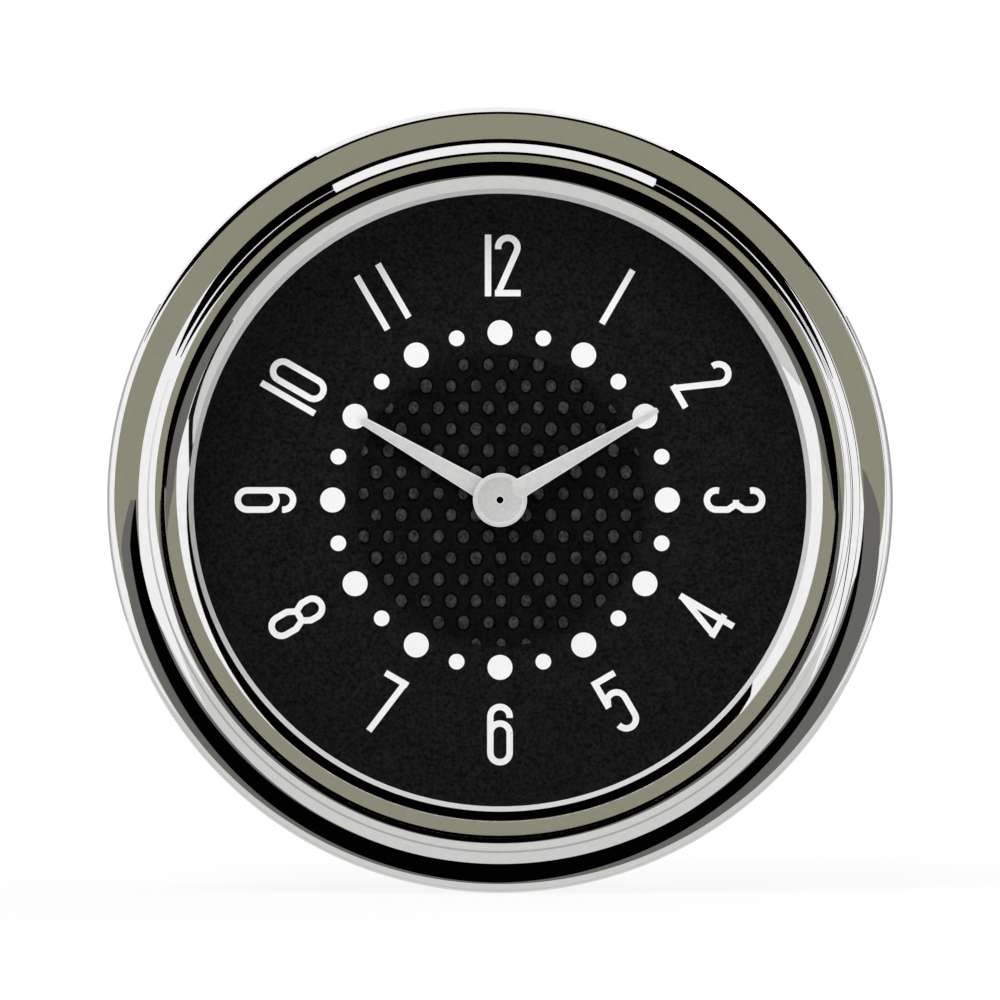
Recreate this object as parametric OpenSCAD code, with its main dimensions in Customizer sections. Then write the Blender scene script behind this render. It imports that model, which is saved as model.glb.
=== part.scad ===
// Car dashboard clock: a panel clock with a quartz movement, in millimetres.
// The dial faces -Y and 12 o'clock is up, along +Z. The origin is on the clock's axis,
// in the plane where the back of the bezel meets the panel.

/* [Bezel] */
// How far the bezel stands out past the case barrel
bezel_overhang = 3.95; // [3.5:0.05:6]
// Radius of the roll inside the crest
inner_roll_r = 1.72; // [1.4:0.02:2]
// Width of the sloped lip round the sight opening
lip_slope_w = 0.8; // [0.6:0.01:0.9]
// Half the width of the outer roll
roll_w = 2.8; // [2.4:0.01:3]
// Height of the outer roll's top above its widest place
roll_h = 1.84; // [1.6:0.02:2.2]
// Radius of the crest's outer shoulder
shoulder_r = 0.72; // [0.5:0.02:1]
// Radius of the riser's rounded upper half
riser_r = 2.48; // [2.2:0.02:2.8]
// Radius of the riser's hollow lower half
cove_r = 3.68; // [3.2:0.02:4]
// Thickness of the lip that is crimped behind the case flange
crimp_t = 0.7; // [0.5:0.05:1]
// Thickness of the bezel's sight edge
sight_edge_t = 0.2; // [0.15:0.05:0.4]

/* [Case] */
// Outer diameter of the case barrel
case_od = 52.4; // [47:0.1:58]
// Wall of the drawn case
case_wall = 0.8; // [0.6:0.05:1]
// Depth of the case behind the panel
case_depth = 30; // [27:0.5:40]
// Outer radius of the case's back corner
case_corner = 2; // [1.5:0.25:2.5]
// Thickness of the case gasket
case_gasket_t = 0.5; // [0.3:0.05:0.8]

/* [Glass] */
// Thickness of the glass
lens_t = 1.6; // [1:0.1:2.2]
// Thickness of the gasket in front of the glass
lens_gasket_t = 0.4; // [0.3:0.05:0.8]
// Thickness of the trim ring's flange under the glass
trim_flange_t = 0.4; // [0.3:0.05:0.8]

/* [Dial] */
// Width of the trim ring's slope between the dial and the bezel
trim_slope_w = 0.25; // [0.2:0.05:1.2]
// Height of the trim ring's slope above the dial
trim_slope_h = 0.8; // [0.5:0.05:1.2]
// Thickness of the dial
dial_t = 0.8; // [0.6:0.05:1.2]
// Depth of the dial face behind the panel plane
dial_set = 0.6; // [0.4:0.05:1]
// Diameter of the recessed centre field
field_d = 22.5; // [16:0.1:23]
// Depth of the recessed centre field
field_depth = 0.12; // [0.05:0.01:0.3]
// Height of the print above the dial
print_t = 0.08; // [0.05:0.01:0.15]
// Radius of the ring of dots
dot_ring_r = 12.88; // [12.4:0.02:14]
// Radius of an hour dot
hour_dot_r = 0.96; // [0.6:0.02:1.2]
// Radius of a half-hour dot
half_dot_r = 0.6; // [0.3:0.02:0.8]
// Radius of the ring of numerals, at their middle
numeral_ring_r = 18.05; // [17:0.05:18.8]
// Height of a numeral
numeral_h = 4.75; // [3:0.05:5.4]
// Width of a numeral
numeral_w = 1.98; // [1.6:0.02:2.4]
// Width of a numeral's stroke
stroke_w = 0.49; // [0.3:0.01:0.6]

/* [Hands] */
// Angle of the hour hand, clockwise from 12
hour_angle = 300; // [0:1:360]
// Angle of the minute hand, clockwise from 12
minute_angle = 60.2; // [0:0.2:360]
// Length of the hour hand from the axis
hour_hand_len = 12.31; // [8:0.01:16]
// Length of the minute hand from the axis
minute_hand_len = 13.97; // [10:0.01:20]
// Width of a hand on the axis, from which it tapers
hand_root_w = 1.7; // [1:0.02:2]
// Width of the hour hand's tip
hour_tip_w = 0.64; // [0.4:0.02:1]
// Width of the minute hand's tip
minute_tip_w = 0.46; // [0.4:0.02:1]
// Thickness of a hand
hand_t = 0.25; // [0.2:0.01:0.4]
// Radius of the minute hand's hub
hub_r = 2.08; // [1.8:0.02:2.5]
// Radius of the hub's coned dish at its rim
hub_dish_r = 1.7; // [1.2:0.02:1.76]
// Radius of the small hole in the hub
hub_hole_r = 0.26; // [0.2:0.01:0.4]
// Gap between the dial and the hour hand
hour_hand_lift = 0.65; // [0.5:0.01:0.8]
// Gap between the hour hand and the minute hand
hand_gap = 0.6; // [0.5:0.01:0.8]

/* [Motion work] */
// Tooth module of the motion work
motion_module = 0.4; // [0.38:0.01:0.42]
// Teeth of the cannon pinion
cannon_teeth = 10; // [10:1:10]
// Teeth of the minute wheel
minute_teeth = 30; // [30:1:30]
// Teeth of the pinion on the set arbor
set_pinion_teeth = 8; // [8:1:8]
// Teeth of the hour wheel
hour_teeth = 32; // [32:1:32]
// Thickness of a motion wheel
motion_wheel_t = 0.8; // [0.7:0.05:0.85]
// Space between the dial and the front plate
motion_gap = 3; // [2.9:0.05:4]
// Radius of the centre arbor
centre_arbor_r = 0.5; // [0.4:0.02:0.55]
// Radius of the cannon pinion's tube
cannon_tube_r = 0.9; // [0.85:0.02:1]
// Radius of the hour pipe
hour_pipe_r = 1.4; // [1.3:0.02:1.5]
// Radius of the set arbor
set_arbor_r = 0.8; // [0.6:0.02:0.9]

/* [Going train] */
// Tooth module between the third arbor and the centre wheel
centre_module = 0.2; // [0.2:0.005:0.205]
// Tooth module between the fourth arbor and the third wheel
third_module = 0.18; // [0.175:0.005:0.185]
// Tooth module between the fifth arbor and the fourth wheel
fourth_module = 0.15; // [0.145:0.005:0.155]
// Tooth module between the rotor and the fifth wheel
fifth_module = 0.12; // [0.115:0.005:0.125]
// Thickness of a train wheel
train_wheel_t = 0.5; // [0.4:0.05:0.6]
// Radius of a train arbor
train_arbor_r = 0.35; // [0.3:0.01:0.4]
// Radius of a train pivot
train_pivot_r = 0.2; // [0.15:0.01:0.25]
// Radius of the rotor magnet
magnet_r = 2; // [1.6:0.05:2.1]
// Height of the rotor magnet
magnet_h = 1.4; // [1:0.1:1.6]

/* [Movement frame] */
// Radius of the movement plates
plate_r = 17.5; // [17:0.1:19]
// Thickness of a movement plate
plate_t = 1; // [0.8:0.05:1.4]
// Space between the movement plates
plate_gap = 8; // [8:0.1:9]
// Radius of the circle that carries the pillars
pillar_ring_r = 15; // [14.8:0.05:15.1]
// Radius of a pillar
pillar_r = 2; // [1.6:0.05:2.2]
// Radius of a frame screw's shank
screw_r = 0.8; // [0.6:0.02:0.9]
// Radius of a frame screw's head
screw_head_r = 1.6; // [1.2:0.05:2]
// Space between the back plate and the circuit board
board_gap = 3; // [2.6:0.1:4]
// Radius of the circuit board
board_r = 16.8; // [16.8:0.1:17.5]
// Thickness of the circuit board
board_t = 1.6; // [1:0.1:1.6]

/* [Motor] */
// Thickness of the stator
stator_t = 0.6; // [0.4:0.05:0.8]
// Width of a stator arm
stator_arm_w = 2.6; // [2:0.1:3]
// Length of the coil bobbin
bobbin_len = 8; // [6:0.1:8.4]
// Radius of the bobbin's flanges
bobbin_r = 2.9; // [2.2:0.05:3]
// Width of the coil core
core_w = 2; // [1.6:0.05:2.2]

/* [Back of the case] */
// Radius of the set knob
knob_r = 3.2; // [2.6:0.05:3.4]
// Height of the set knob
knob_h = 5; // [4:0.1:7]
// Width of a terminal blade
blade_w = 6.3; // [4.8:0.1:6.3]
// Thickness of a terminal blade
blade_t = 0.8; // [0.5:0.05:1]
// Length of a terminal blade
blade_len = 8; // [6:0.1:9]
// Radius of a terminal's shank
terminal_r = 1.2; // [0.8:0.05:1.4]
// Radius of the lamp bulb
bulb_r = 2.4; // [2:0.05:2.6]
// Radius of the lamp holder inside the case
lamp_body_r = 4.1; // [3.4:0.05:4.3]
// Radius of the lamp holder's flange
lamp_flange_r = 5; // [4.6:0.05:5.2]

/* [Panel clamp] */
// Radius of a mounting stud
stud_r = 2; // [1.6:0.05:2.2]
// Distance from the side of the barrel to the middle of a stud
stud_inset = 7.2; // [7:0.1:7.6]
// Width across flats of a stud nut
stud_nut_flats = 7; // [6.4:0.1:7.4]
// Thickness of a stud nut
stud_nut_t = 2.4; // [1.8:0.1:3]
// Gap from the bezel to the ends of the clamp's legs
clamp_gap = 6; // [5:0.1:9]
// Thinnest panel that the clamp can grip
panel_min = 0.8; // [0.5:0.1:2]
// Width of the clamp strip
clamp_w = 8; // [6:0.1:8.4]
// Thickness of the clamp strip
clamp_t = 1.2; // [1:0.05:1.5]
// Thickness of a clamp washer
washer_t = 0.8; // [0.5:0.05:1.2]
// Outer radius of a thumb nut
thumb_nut_r = 5; // [4.4:0.05:5.4]
// Height of a thumb nut
thumb_nut_h = 6; // [4:0.1:8]

/* [Hidden] */
$fn = 64;
cut = 0.1;

// Fits: a turning fit, a fit of fixed pieces, loose gaps between shells and between rings
run_fit = 0.05;
fixed_fit = 0.04;
shell_gap = 0.2;
ring_gap = 0.15;

// Play along an axis: between wheels, at a shoulder, and at the end of a tube
wheel_play = 0.3;
shoulder_play = 0.1;
tube_play = 0.15;

// Heights along the clock's axis, from the panel plane, with the viewer's side positive
flange_t = case_wall;
flange_top = crimp_t + flange_t;
gasket_top = flange_top + case_gasket_t;
lens_back = gasket_top + trim_flange_t;
lens_front = lens_back + lens_t;
bezel_lip_z = lens_front + lens_gasket_t;
dial_front = -dial_set;
dial_back = dial_front - dial_t;
front_plate_front = dial_back - motion_gap;
front_plate_back = front_plate_front - plate_t;
back_plate_front = front_plate_back - plate_gap;
back_plate_back = back_plate_front - plate_t;
board_front = back_plate_back - board_gap;
board_back = board_front - board_t;
case_back = -case_depth;
case_floor = case_back + case_wall;

// Radii of the case, the glass and the bezel
neck_step = 0.35;
lens_seat_w = 0.8;
crest_inset = 0.52;
bezel_edge_t = 0.95;
gasket_inset = 0.45;
barrel_r = case_od / 2;
mouth_r = barrel_r - case_wall;
neck_r = barrel_r + neck_step;
crimp_r = neck_r + ring_gap;
lens_r = mouth_r + lens_seat_w;
pocket_r = lens_r + ring_gap;
crest_r = pocket_r - crest_inset;
lip_slope = 43.7;
lip_slope_h = lip_slope_w * tan(lip_slope);
inner_roll_h = inner_roll_r * (1 - cos(lip_slope));
sight_r = crest_r - inner_roll_r * sin(lip_slope) - lip_slope_w;
crest_z = bezel_lip_z + sight_edge_t + lip_slope_h + inner_roll_h;
bezel_r = barrel_r + bezel_overhang;
skirt_w = 0.5;
// How far the riser's face looks up from the panel plane, at its steepest and at both ends
riser_steep = 31;
riser_end = 53.4;
flange_pocket_r = bezel_r - bezel_edge_t;
flange_r = flange_pocket_r - shell_gap;
trim_in_r = sight_r - trim_slope_w;
trim_wall_inset = 0.3;
trim_wall_r = sight_r + trim_wall_inset;
trim_out_r = mouth_r - shell_gap;
dial_r = mouth_r - shell_gap;

// Hands, measured forward from the dial
hour_hand_z = dial_front + hour_hand_lift;
hour_pipe_top = hour_hand_z + hand_t;
minute_hand_z = hour_hand_z + hand_t + hand_gap;
hour_hub_inset = 0.1;
hour_hub_r = hub_r - hour_hub_inset;
hub_rim_t = 0.3;
dish_floor_r = 0.5;
dish_sink = 0.02;
hub_boss_r = 1.1;
nose_r = 0.6;
nose_top = minute_hand_z + hand_t / 2;
hub_boss_back = hour_pipe_top + tube_play;

// Gear teeth: a 25 degree pressure angle keeps small pinions free of undercut
pressure_angle = 25;
tooth_slack = 0.08;
pinion_addendum = 1;
pinion_dedendum = 1;
wheel_addendum = 0.7;
wheel_dedendum = 1.2;

// Motion work: wheels on two levels in front of the front plate
set_dir = 270;
set_at = polar(motion_module * (cannon_teeth + minute_teeth) / 2, set_dir);
minute_wheel_back = front_plate_front + wheel_play;
minute_wheel_front = minute_wheel_back + motion_wheel_t;
hour_wheel_back = minute_wheel_front + wheel_play;
hour_wheel_front = hour_wheel_back + motion_wheel_t;
hour_boss_w = 0.3;
hour_boss_r = hour_pipe_r + hour_boss_w;
dial_hole_gap = 0.5;
dial_hole_r = hour_pipe_r + dial_hole_gap;
set_collar_w = 0.6;
set_collar_r = set_arbor_r + set_collar_w;
set_collar_t = 0.8;

// Going train: teeth, directions from one arbor to the next, and levels behind the front plate
third_pinion_teeth = 8;
centre_teeth = 64;
fourth_pinion_teeth = 8;
third_teeth = 60;
fifth_pinion_teeth = 10;
fourth_teeth = 50;
rotor_pinion_teeth = 10;
fifth_teeth = 60;
third_dir = 150;
fourth_dir = 50;
fifth_dir = -10;
rotor_dir = -20;
third_at = polar(centre_module * (third_pinion_teeth + centre_teeth) / 2, third_dir);
fourth_at = third_at + polar(third_module * (fourth_pinion_teeth + third_teeth) / 2, fourth_dir);
fifth_at = fourth_at + polar(fourth_module * (fifth_pinion_teeth + fourth_teeth) / 2, fifth_dir);
rotor_at = fifth_at + polar(fifth_module * (rotor_pinion_teeth + fifth_teeth) / 2, rotor_dir);
level_step = 1.4;
first_level_gap = 0.7;
pinion_over = 0.2;
centre_level = front_plate_back - first_level_gap - train_wheel_t;
third_level = centre_level - level_step;
fourth_level = third_level - level_step;
fifth_level = fourth_level - level_step;

// Motor: the stator lies level with the third wheel, with its eye round the rotor
stator_front = third_level;
stator_back = stator_front - stator_t;
stator_mid = (stator_front + stator_back) / 2;
stator_air_gap = 0.35;
stator_eye_w = 1;
stator_hole_r = magnet_r + stator_air_gap;
stator_eye_r = stator_hole_r + stator_eye_w;
core_t = 0.6;
core_back = stator_back - core_t;
coil_z = stator_back - core_t / 2;
coil_x = 12.5;
arm_x = 6.6;
arm_top_y = 5.6;
arm_low_y = -5.6;
winding_inset = 0.3;
winding_r = bobbin_r - winding_inset;
bobbin_core_r = 1.5;
bobbin_flange_t = 0.6;
stator_post_r = 1.1;

// Frame positions
pillar_dirs = [80, 215, 318];
dial_foot_r = 0.8;
dial_foot_at = [14.5, 0];
screw_head_t = 0.8;
screw_depth = 3;
screw_slot_w = 0.4;
screw_slot_depth = 0.35;
spacer_thread = 2;
thread_end_gap = 0.2;
rear_spacer_r = 2.5;
case_screw_r = 1;
case_screw_depth = 6;
case_screw_head_r = 2.6;
case_screw_head_t = 1.4;

// Parts on the circuit board
board_hole_gap = 0.8;
board_hole_r = set_arbor_r + board_hole_gap;
chip_size = [5, 4, 1.5];
chip_at = [-4, 2];
crystal_r = 1.5;
crystal_len = 6;
crystal_flat = 0.05;
crystal_at = [-9, 3];
capacitor_r = 2.5;
capacitor_h = 5;
capacitor_at = [7, 3];

// Places on the case back
set_bush_wall = 1.15;
set_bush_r = set_arbor_r + set_bush_wall;
set_bush_flange_w = 1.05;
set_bush_flange_r = set_bush_r + set_bush_flange_w;
set_bush_flange_t = 0.8;
set_bush_past = 1;
set_bush_out = case_back - set_bush_past;
knob_front = set_bush_out - wheel_play;
knob_bore = knob_h * 0.7;
knob_flutes = 20;
knob_flute_depth = 0.3;
terminal_at = [5, -14.5];
terminal_collar_w = 0.9;
terminal_collar_r = terminal_r + terminal_collar_w;
terminal_collar_t = 0.6;
blade_hole_r = 0.8;
insulator_wall = 1.1;
insulator_neck_r = terminal_r + insulator_wall;
insulator_flange_w = 0.7;
insulator_flange_r = insulator_neck_r + insulator_flange_w;
insulator_t = 1;
lamp_wall_gap = 3.34;
lamp_at = polar(mouth_r - lamp_body_r - lamp_wall_gap, 45);
lamp_inside = 5;
lamp_flange_t = 1.2;
lamp_grip_r = 3.2;
lamp_grip_h = 3.8;
lamp_flutes = 16;
lamp_flute_depth = 0.25;
bulb_seat = 3;
bulb_gap = 1.2;
bulb_base = case_floor + lamp_inside - bulb_seat;
bulb_tip = board_back - bulb_gap;
stud_at = [barrel_r - stud_inset, 0];
stud_head_w = 1;
stud_head_r = stud_r + stud_head_w;
stud_head_t = 0.8;

// Panel clamp
clamp_side_gap = 1.2;
clamp_in_x = barrel_r + clamp_side_gap;
clamp_out_x = clamp_in_x + clamp_t;
clamp_bend_r = 1.5;
clamp_room = 0.6;
bridge_front = case_back - stud_nut_t - clamp_room - (clamp_gap - panel_min);
bridge_back = bridge_front - clamp_t;
washer_r = stud_r * 2;
washer_back = bridge_back - washer_t;
thumb_nut_back = washer_back - thumb_nut_h;
thumb_nut_flutes = 24;
thumb_nut_flute_depth = 0.35;
stud_past_nut = 3.8;
stud_end = thumb_nut_back - stud_past_nut;
stud_chamfer = 0.5;

// Numerals: the middle of a stroke's outline, its outer edge, and the centre of an end arc
glyph_x = (numeral_w - stroke_w) / 2;
glyph_y = (numeral_h - stroke_w) / 2;
glyph_arc_y = glyph_y - glyph_x;
edge_x = numeral_w / 2;
edge_y = numeral_h / 2;

// Where the two figures of 10, 11 and 12 stand, from the middle of the pair
pair_10 = [-1.37, 0.22];
pair_11 = [-0.94, 0.94];
pair_12 = [-0.92, 0.6];

// Points and outlines

function polar(r, a) = [r * cos(a), r * sin(a)];

function arc(centre, r, from, to, steps = 12) =
    [for (i = [0 : steps]) centre + polar(r, from + (to - from) * i / steps)];

function oval(centre, w, h, from, to, steps = 12) =
    [
        for (i = [0 : steps])
            let (a = from + (to - from) * i / steps)
            centre + [w * cos(a), h * sin(a)]
    ];

// All points but the first, to go on from a point that is already there
function after_first(points) = [for (i = [1 : len(points) - 1]) points[i]];

// Involute angle of a pressure angle, in degrees
function involute(a) = tan(a) * 180 / PI - a;

// Half the angle that a tooth takes up at radius r
function tooth_half(teeth, r, pitch_r) =
    let (base_r = pitch_r * cos(pressure_angle))
    let (a = acos(base_r / max(r, base_r)))
    90 / teeth - tooth_slack * 360 / (PI * teeth) + involute(pressure_angle) - involute(a);

// Outline of a gear, with four points on each flank
function gear_points(teeth, size, addendum, dedendum) =
    let (pitch_r = teeth * size / 2)
    let (root_r = pitch_r - dedendum * size)
    let (tip_r = pitch_r + addendum * size)
    let (flank = [for (share = [0, 0.4, 0.7, 1]) root_r + (tip_r - root_r) * share])
    [
        for (i = [0 : teeth - 1])
            for (side = [-1, 1])
                for (j = [0 : 3])
                    let (r = flank[side < 0 ? j : 3 - j])
                    polar(r, i * 360 / teeth + side * tooth_half(teeth, r, pitch_r))
    ];

// Zigzag outline of a knurled head
function knurl_points(r, flutes, depth) =
    [for (i = [0 : 2 * flutes - 1]) polar(i % 2 == 0 ? r : r - depth, i * 180 / flutes)];

function unit(v) = v / norm(v);

function left_of(v) = [-v[1], v[0]];

// Direction in which a stroke's edge is moved at point i, long enough to keep its width
function edge_shift(path, i) =
    let (last = len(path) - 1)
    let (before = left_of(unit(path[max(i, 1)] - path[max(i, 1) - 1])))
    let (after = left_of(unit(path[min(i, last - 1) + 1] - path[min(i, last - 1)])))
    let (middle = unit(before + after))
    middle / (middle * before);

// Outline of a stroke of even width along a path
function ribbon(path, width) =
    let (last = len(path) - 1)
    concat(
        [for (i = [0 : last]) path[i] + edge_shift(path, i) * width / 2],
        [for (i = [last : -1 : 0]) path[i] - edge_shift(path, i) * width / 2]
    );

// Basic solids

// Turns a solid modelled face up, with the viewer above, so that its face looks along -Y
module face_forward() {
    rotate([90, 0, 0]) children();
}

module rod(r, from, to) {
    translate([0, 0, min(from, to)]) cylinder(r = r, h = abs(to - from));
}

module ring(r_out, r_in, from, to) {
    difference() {
        rod(r_out, from, to);
        rod(r_in, min(from, to) - cut, max(from, to) + cut);
    }
}

module slab(points, from, to) {
    translate([0, 0, min(from, to)]) linear_extrude(abs(to - from)) polygon(points);
}

module at(place) {
    translate([place[0], place[1], 0]) children();
}

// The same piece on the left and on the right
module both_sides(place) {
    for (side = [-1, 1]) at([side * place[0], place[1]]) children();
}

module at_pillars() {
    for (a = pillar_dirs) at(polar(pillar_ring_r, a)) children();
}

// A wheel with a gap between teeth facing its pinion, and a pinion with a tooth facing its wheel
module wheel(teeth, size, toward, from, to, bore_r) {
    difference() {
        rotate(toward + 180 / teeth)
            slab(gear_points(teeth, size, wheel_addendum, wheel_dedendum), from, to);
        rod(bore_r, from - cut, to + cut);
        wheel_windows(teeth * size / 2, from, to);
    }
}

module wheel_windows(pitch_r, from, to) {
    for (a = [0 : 72 : 288]) {
        at(polar(pitch_r * 0.58, a)) rod(pitch_r * 0.2, from - cut, to + cut);
    }
}

module pinion(teeth, size, toward, from, to) {
    rotate(toward) slab(gear_points(teeth, size, pinion_addendum, pinion_dedendum), from, to);
}

// Case and front

// The bezel's front, from the panel over the outer roll and the riser to the crest and the sight edge
module bezel() {
    shoulder = [crest_r, crest_z - shoulder_r];
    riser = shoulder + polar(shoulder_r - riser_r, riser_end);
    cove = riser + polar(riser_r + cove_r, riser_steep);
    corner = cove - polar(cove_r, riser_end);
    roll_r = bezel_r - roll_w;
    corner_angle = acos((corner[0] - roll_r) / roll_w);
    roll_z = corner[1] - roll_h * sin(corner_angle);
    color("gainsboro") face_forward() rotate_extrude($fn = 128) polygon(concat(
        [[crimp_r, 0]],
        oval([bezel_r - skirt_w, roll_z], skirt_w, roll_z, -90, 0, 6),
        after_first(oval([roll_r, roll_z], roll_w, roll_h, 0, corner_angle)),
        after_first(arc(cove, cove_r, 180 + riser_end, 180 + riser_steep, 6)),
        after_first(arc(riser, riser_r, riser_steep, riser_end, 6)),
        after_first(arc(shoulder, shoulder_r, riser_end, 90, 6)),
        after_first(arc([crest_r, crest_z - inner_roll_r], inner_roll_r, 90, 90 + lip_slope, 8)),
        [
            [sight_r, bezel_lip_z + sight_edge_t],
            [sight_r, bezel_lip_z],
            [pocket_r, bezel_lip_z],
            [pocket_r, gasket_top],
            [flange_pocket_r, gasket_top],
            [flange_pocket_r, crimp_t],
            [crimp_r, crimp_t]
        ]
    ));
}

module lens() {
    color("aliceblue", 0.3) face_forward() rod(lens_r, lens_back, lens_front);
}

module lens_gasket() {
    color("black") face_forward() ring(lens_r, sight_r + gasket_inset, lens_front, bezel_lip_z);
}

module trim_ring() {
    color("lightgray") face_forward() rotate_extrude() polygon([
        [trim_in_r, dial_front],
        [trim_out_r, dial_front],
        [trim_out_r, gasket_top],
        [lens_r, gasket_top],
        [lens_r, lens_back],
        [trim_wall_r, lens_back],
        [trim_wall_r, dial_front + trim_slope_h]
    ]);
}

module case_gasket() {
    color("black") face_forward()
        ring(flange_r - ring_gap, mouth_r + ring_gap, flange_top, gasket_top);
}

module case_shell() {
    inner_corner = case_corner - case_wall;
    color("darkgray") face_forward() difference() {
        rotate_extrude() polygon(concat(
            [
                [mouth_r, flange_top],
                [flange_r, flange_top],
                [flange_r, crimp_t],
                [neck_r, crimp_t],
                [neck_r, 0],
                [barrel_r, 0]
            ],
            arc([barrel_r - case_corner, case_back + case_corner], case_corner, 0, -90, 8),
            [[0, case_back], [0, case_floor]],
            arc([barrel_r - case_corner, case_back + case_corner], inner_corner, -90, 0, 8)
        ));
        case_holes();
    }
}

module case_holes() {
    from = case_back - cut;
    to = case_floor + cut;
    at_pillars() rod(case_screw_r + run_fit, from, to);
    at(set_at) rod(set_bush_r + fixed_fit, from, to);
    both_sides(terminal_at) rod(insulator_neck_r + fixed_fit, from, to);
    both_sides(lamp_at) rod(lamp_body_r + fixed_fit, from, to);
    both_sides(stud_at) rod(stud_r + fixed_fit, from, to);
}

// Dial

module dial_plate() {
    color("black") face_forward() difference() {
        rod(dial_r, dial_back, dial_front);
        rod(field_d / 2, dial_front - field_depth, dial_front + cut);
        rod(dial_hole_r, dial_back - cut, dial_front);
    }
}

module dial_feet() {
    color("goldenrod") face_forward()
        both_sides(dial_foot_at) rod(dial_foot_r, front_plate_back, dial_back);
}

// Numerals are strokes of even width, drawn upright about their own centre

module stroke(path) {
    slab(ribbon(path, stroke_w), dial_front, dial_front + print_t);
}

// Points along the round top or foot of a numeral
function top_arc(from, to) = arc([0, glyph_arc_y], glyph_x, from, to);

function foot_arc(from, to) = arc([0, -glyph_arc_y], glyph_x, from, to);

module glyph_0() {
    stroke(concat(top_arc(180, 0), foot_arc(0, -90)));
    stroke(concat(foot_arc(-90, -180), [[-glyph_x, glyph_arc_y]]));
}

module glyph_1() {
    stroke([[0, -edge_y], [0, edge_y]]);
}

module glyph_2() {
    stroke(concat(top_arc(190, -24), [[-glyph_x, -glyph_y]]));
    stroke([[-edge_x, -glyph_y], [edge_x, -glyph_y]]);
}

module glyph_3() {
    waist = [glyph_x * 0.45, glyph_y * 0.05];
    stroke(concat(top_arc(195, 0), [[glyph_x, glyph_y * 0.36], waist]));
    stroke(concat([[0, waist[1]], waist, [glyph_x, -glyph_y * 0.24]], foot_arc(0, -195)));
}

module glyph_4() {
    stem_x = glyph_x * 0.75;
    bar_y = -edge_y * 0.56;
    stroke([[stem_x, -edge_y], [stem_x, edge_y]]);
    stroke([[-edge_x, bar_y], [edge_x, bar_y]]);
    stroke([[-glyph_x, bar_y], [stem_x, glyph_y]]);
}

module glyph_5() {
    bowl_y = glyph_y * 0.05;
    stroke([[-edge_x, glyph_y], [edge_x, glyph_y]]);
    stroke([[-glyph_x, glyph_y], [-glyph_x, 0]]);
    stroke(concat([[-glyph_x, bowl_y]], arc([0, bowl_y], glyph_x, 130, 0), foot_arc(0, -170)));
}

module glyph_6() {
    loop_y = glyph_y * 0.05;
    stroke(concat(top_arc(-8, 180), foot_arc(180, 360), [[glyph_x, loop_y]]));
    stroke(arc([0, loop_y], glyph_x, 0, 172));
}

module glyph_7() {
    stroke([[-edge_x, glyph_y], [edge_x, glyph_y]]);
    stroke([[glyph_x, edge_y], [glyph_x * 0.18, -edge_y]]);
}

module glyph_8() {
    waist_x = glyph_x * 0.55;
    waist_y = glyph_y * 0.1;
    upper_y = glyph_y * 0.39;
    lower_y = -glyph_y * 0.23;
    stroke(concat(
        [[-waist_x, waist_y], [-glyph_x, upper_y]],
        top_arc(180, 0),
        [[glyph_x, upper_y], [waist_x, waist_y]]
    ));
    stroke(concat(
        [[-waist_x, waist_y], [-glyph_x, lower_y]],
        foot_arc(180, 360),
        [[glyph_x, lower_y], [waist_x, waist_y]]
    ));
    stroke([[-waist_x, waist_y], [waist_x, waist_y]]);
}

module glyph_9() {
    rotate(180) glyph_6();
}

// Two figures side by side, the first a 1
module glyph_pair(places) {
    translate([places[0], 0, 0]) glyph_1();
    translate([places[1], 0, 0]) children();
}

module glyph_10() {
    glyph_pair(pair_10) glyph_0();
}

module glyph_11() {
    glyph_pair(pair_11) glyph_1();
}

module glyph_12() {
    glyph_pair(pair_12) glyph_2();
}

// A numeral on the dial, its top outward in the upper half and inward in the lower half
module numeral(hour) {
    lower = hour > 3 && hour < 9;
    rotate(-30 * hour) translate([0, numeral_ring_r, 0]) rotate(lower ? 180 : 0) children();
}

module dial_numerals() {
    color("white") face_forward() {
        numeral(1) glyph_1();
        numeral(2) glyph_2();
        numeral(3) glyph_3();
        numeral(4) glyph_4();
        numeral(5) glyph_5();
        numeral(6) glyph_6();
        numeral(7) glyph_7();
        numeral(8) glyph_8();
        numeral(9) glyph_9();
        numeral(10) glyph_10();
        numeral(11) glyph_11();
        numeral(12) glyph_12();
    }
}

module dial_dots() {
    color("white") face_forward() for (i = [0 : 23]) {
        at(polar(dot_ring_r, 15 * i))
            rod(i % 2 == 0 ? hour_dot_r : half_dot_r, dial_front, dial_front + print_t);
    }
}

// Hands

// Outline of a tapered hand that points to 12, with rounded tip corners
function hand_points(root_w, tip_w, length) =
    let (tip_corner = tip_w * 0.3)
    let (tip_x = tip_w / 2 - tip_corner)
    concat(
        [[-root_w / 2, 0], [root_w / 2, 0]],
        arc([tip_x, length - tip_corner], tip_corner, 0, 90, 4),
        arc([-tip_x, length - tip_corner], tip_corner, 90, 180, 4)
    );

module hour_hand() {
    top = hour_hand_z + hand_t;
    color("silver") face_forward() rotate(-hour_angle) difference() {
        union() {
            slab(hand_points(hand_root_w, hour_tip_w, hour_hand_len), hour_hand_z, top);
            rod(hour_hub_r, hour_hand_z, top);
        }
        rod(hour_pipe_r + fixed_fit, hour_hand_z - cut, top + cut);
    }
}

// The dish in the hub, from its flat floor up to the rim
module hub_dish(from, to) {
    rotate_extrude() polygon([
        [0, from],
        [dish_floor_r, from],
        [hub_dish_r, to],
        [hub_dish_r, to + cut],
        [0, to + cut]
    ]);
}

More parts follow.
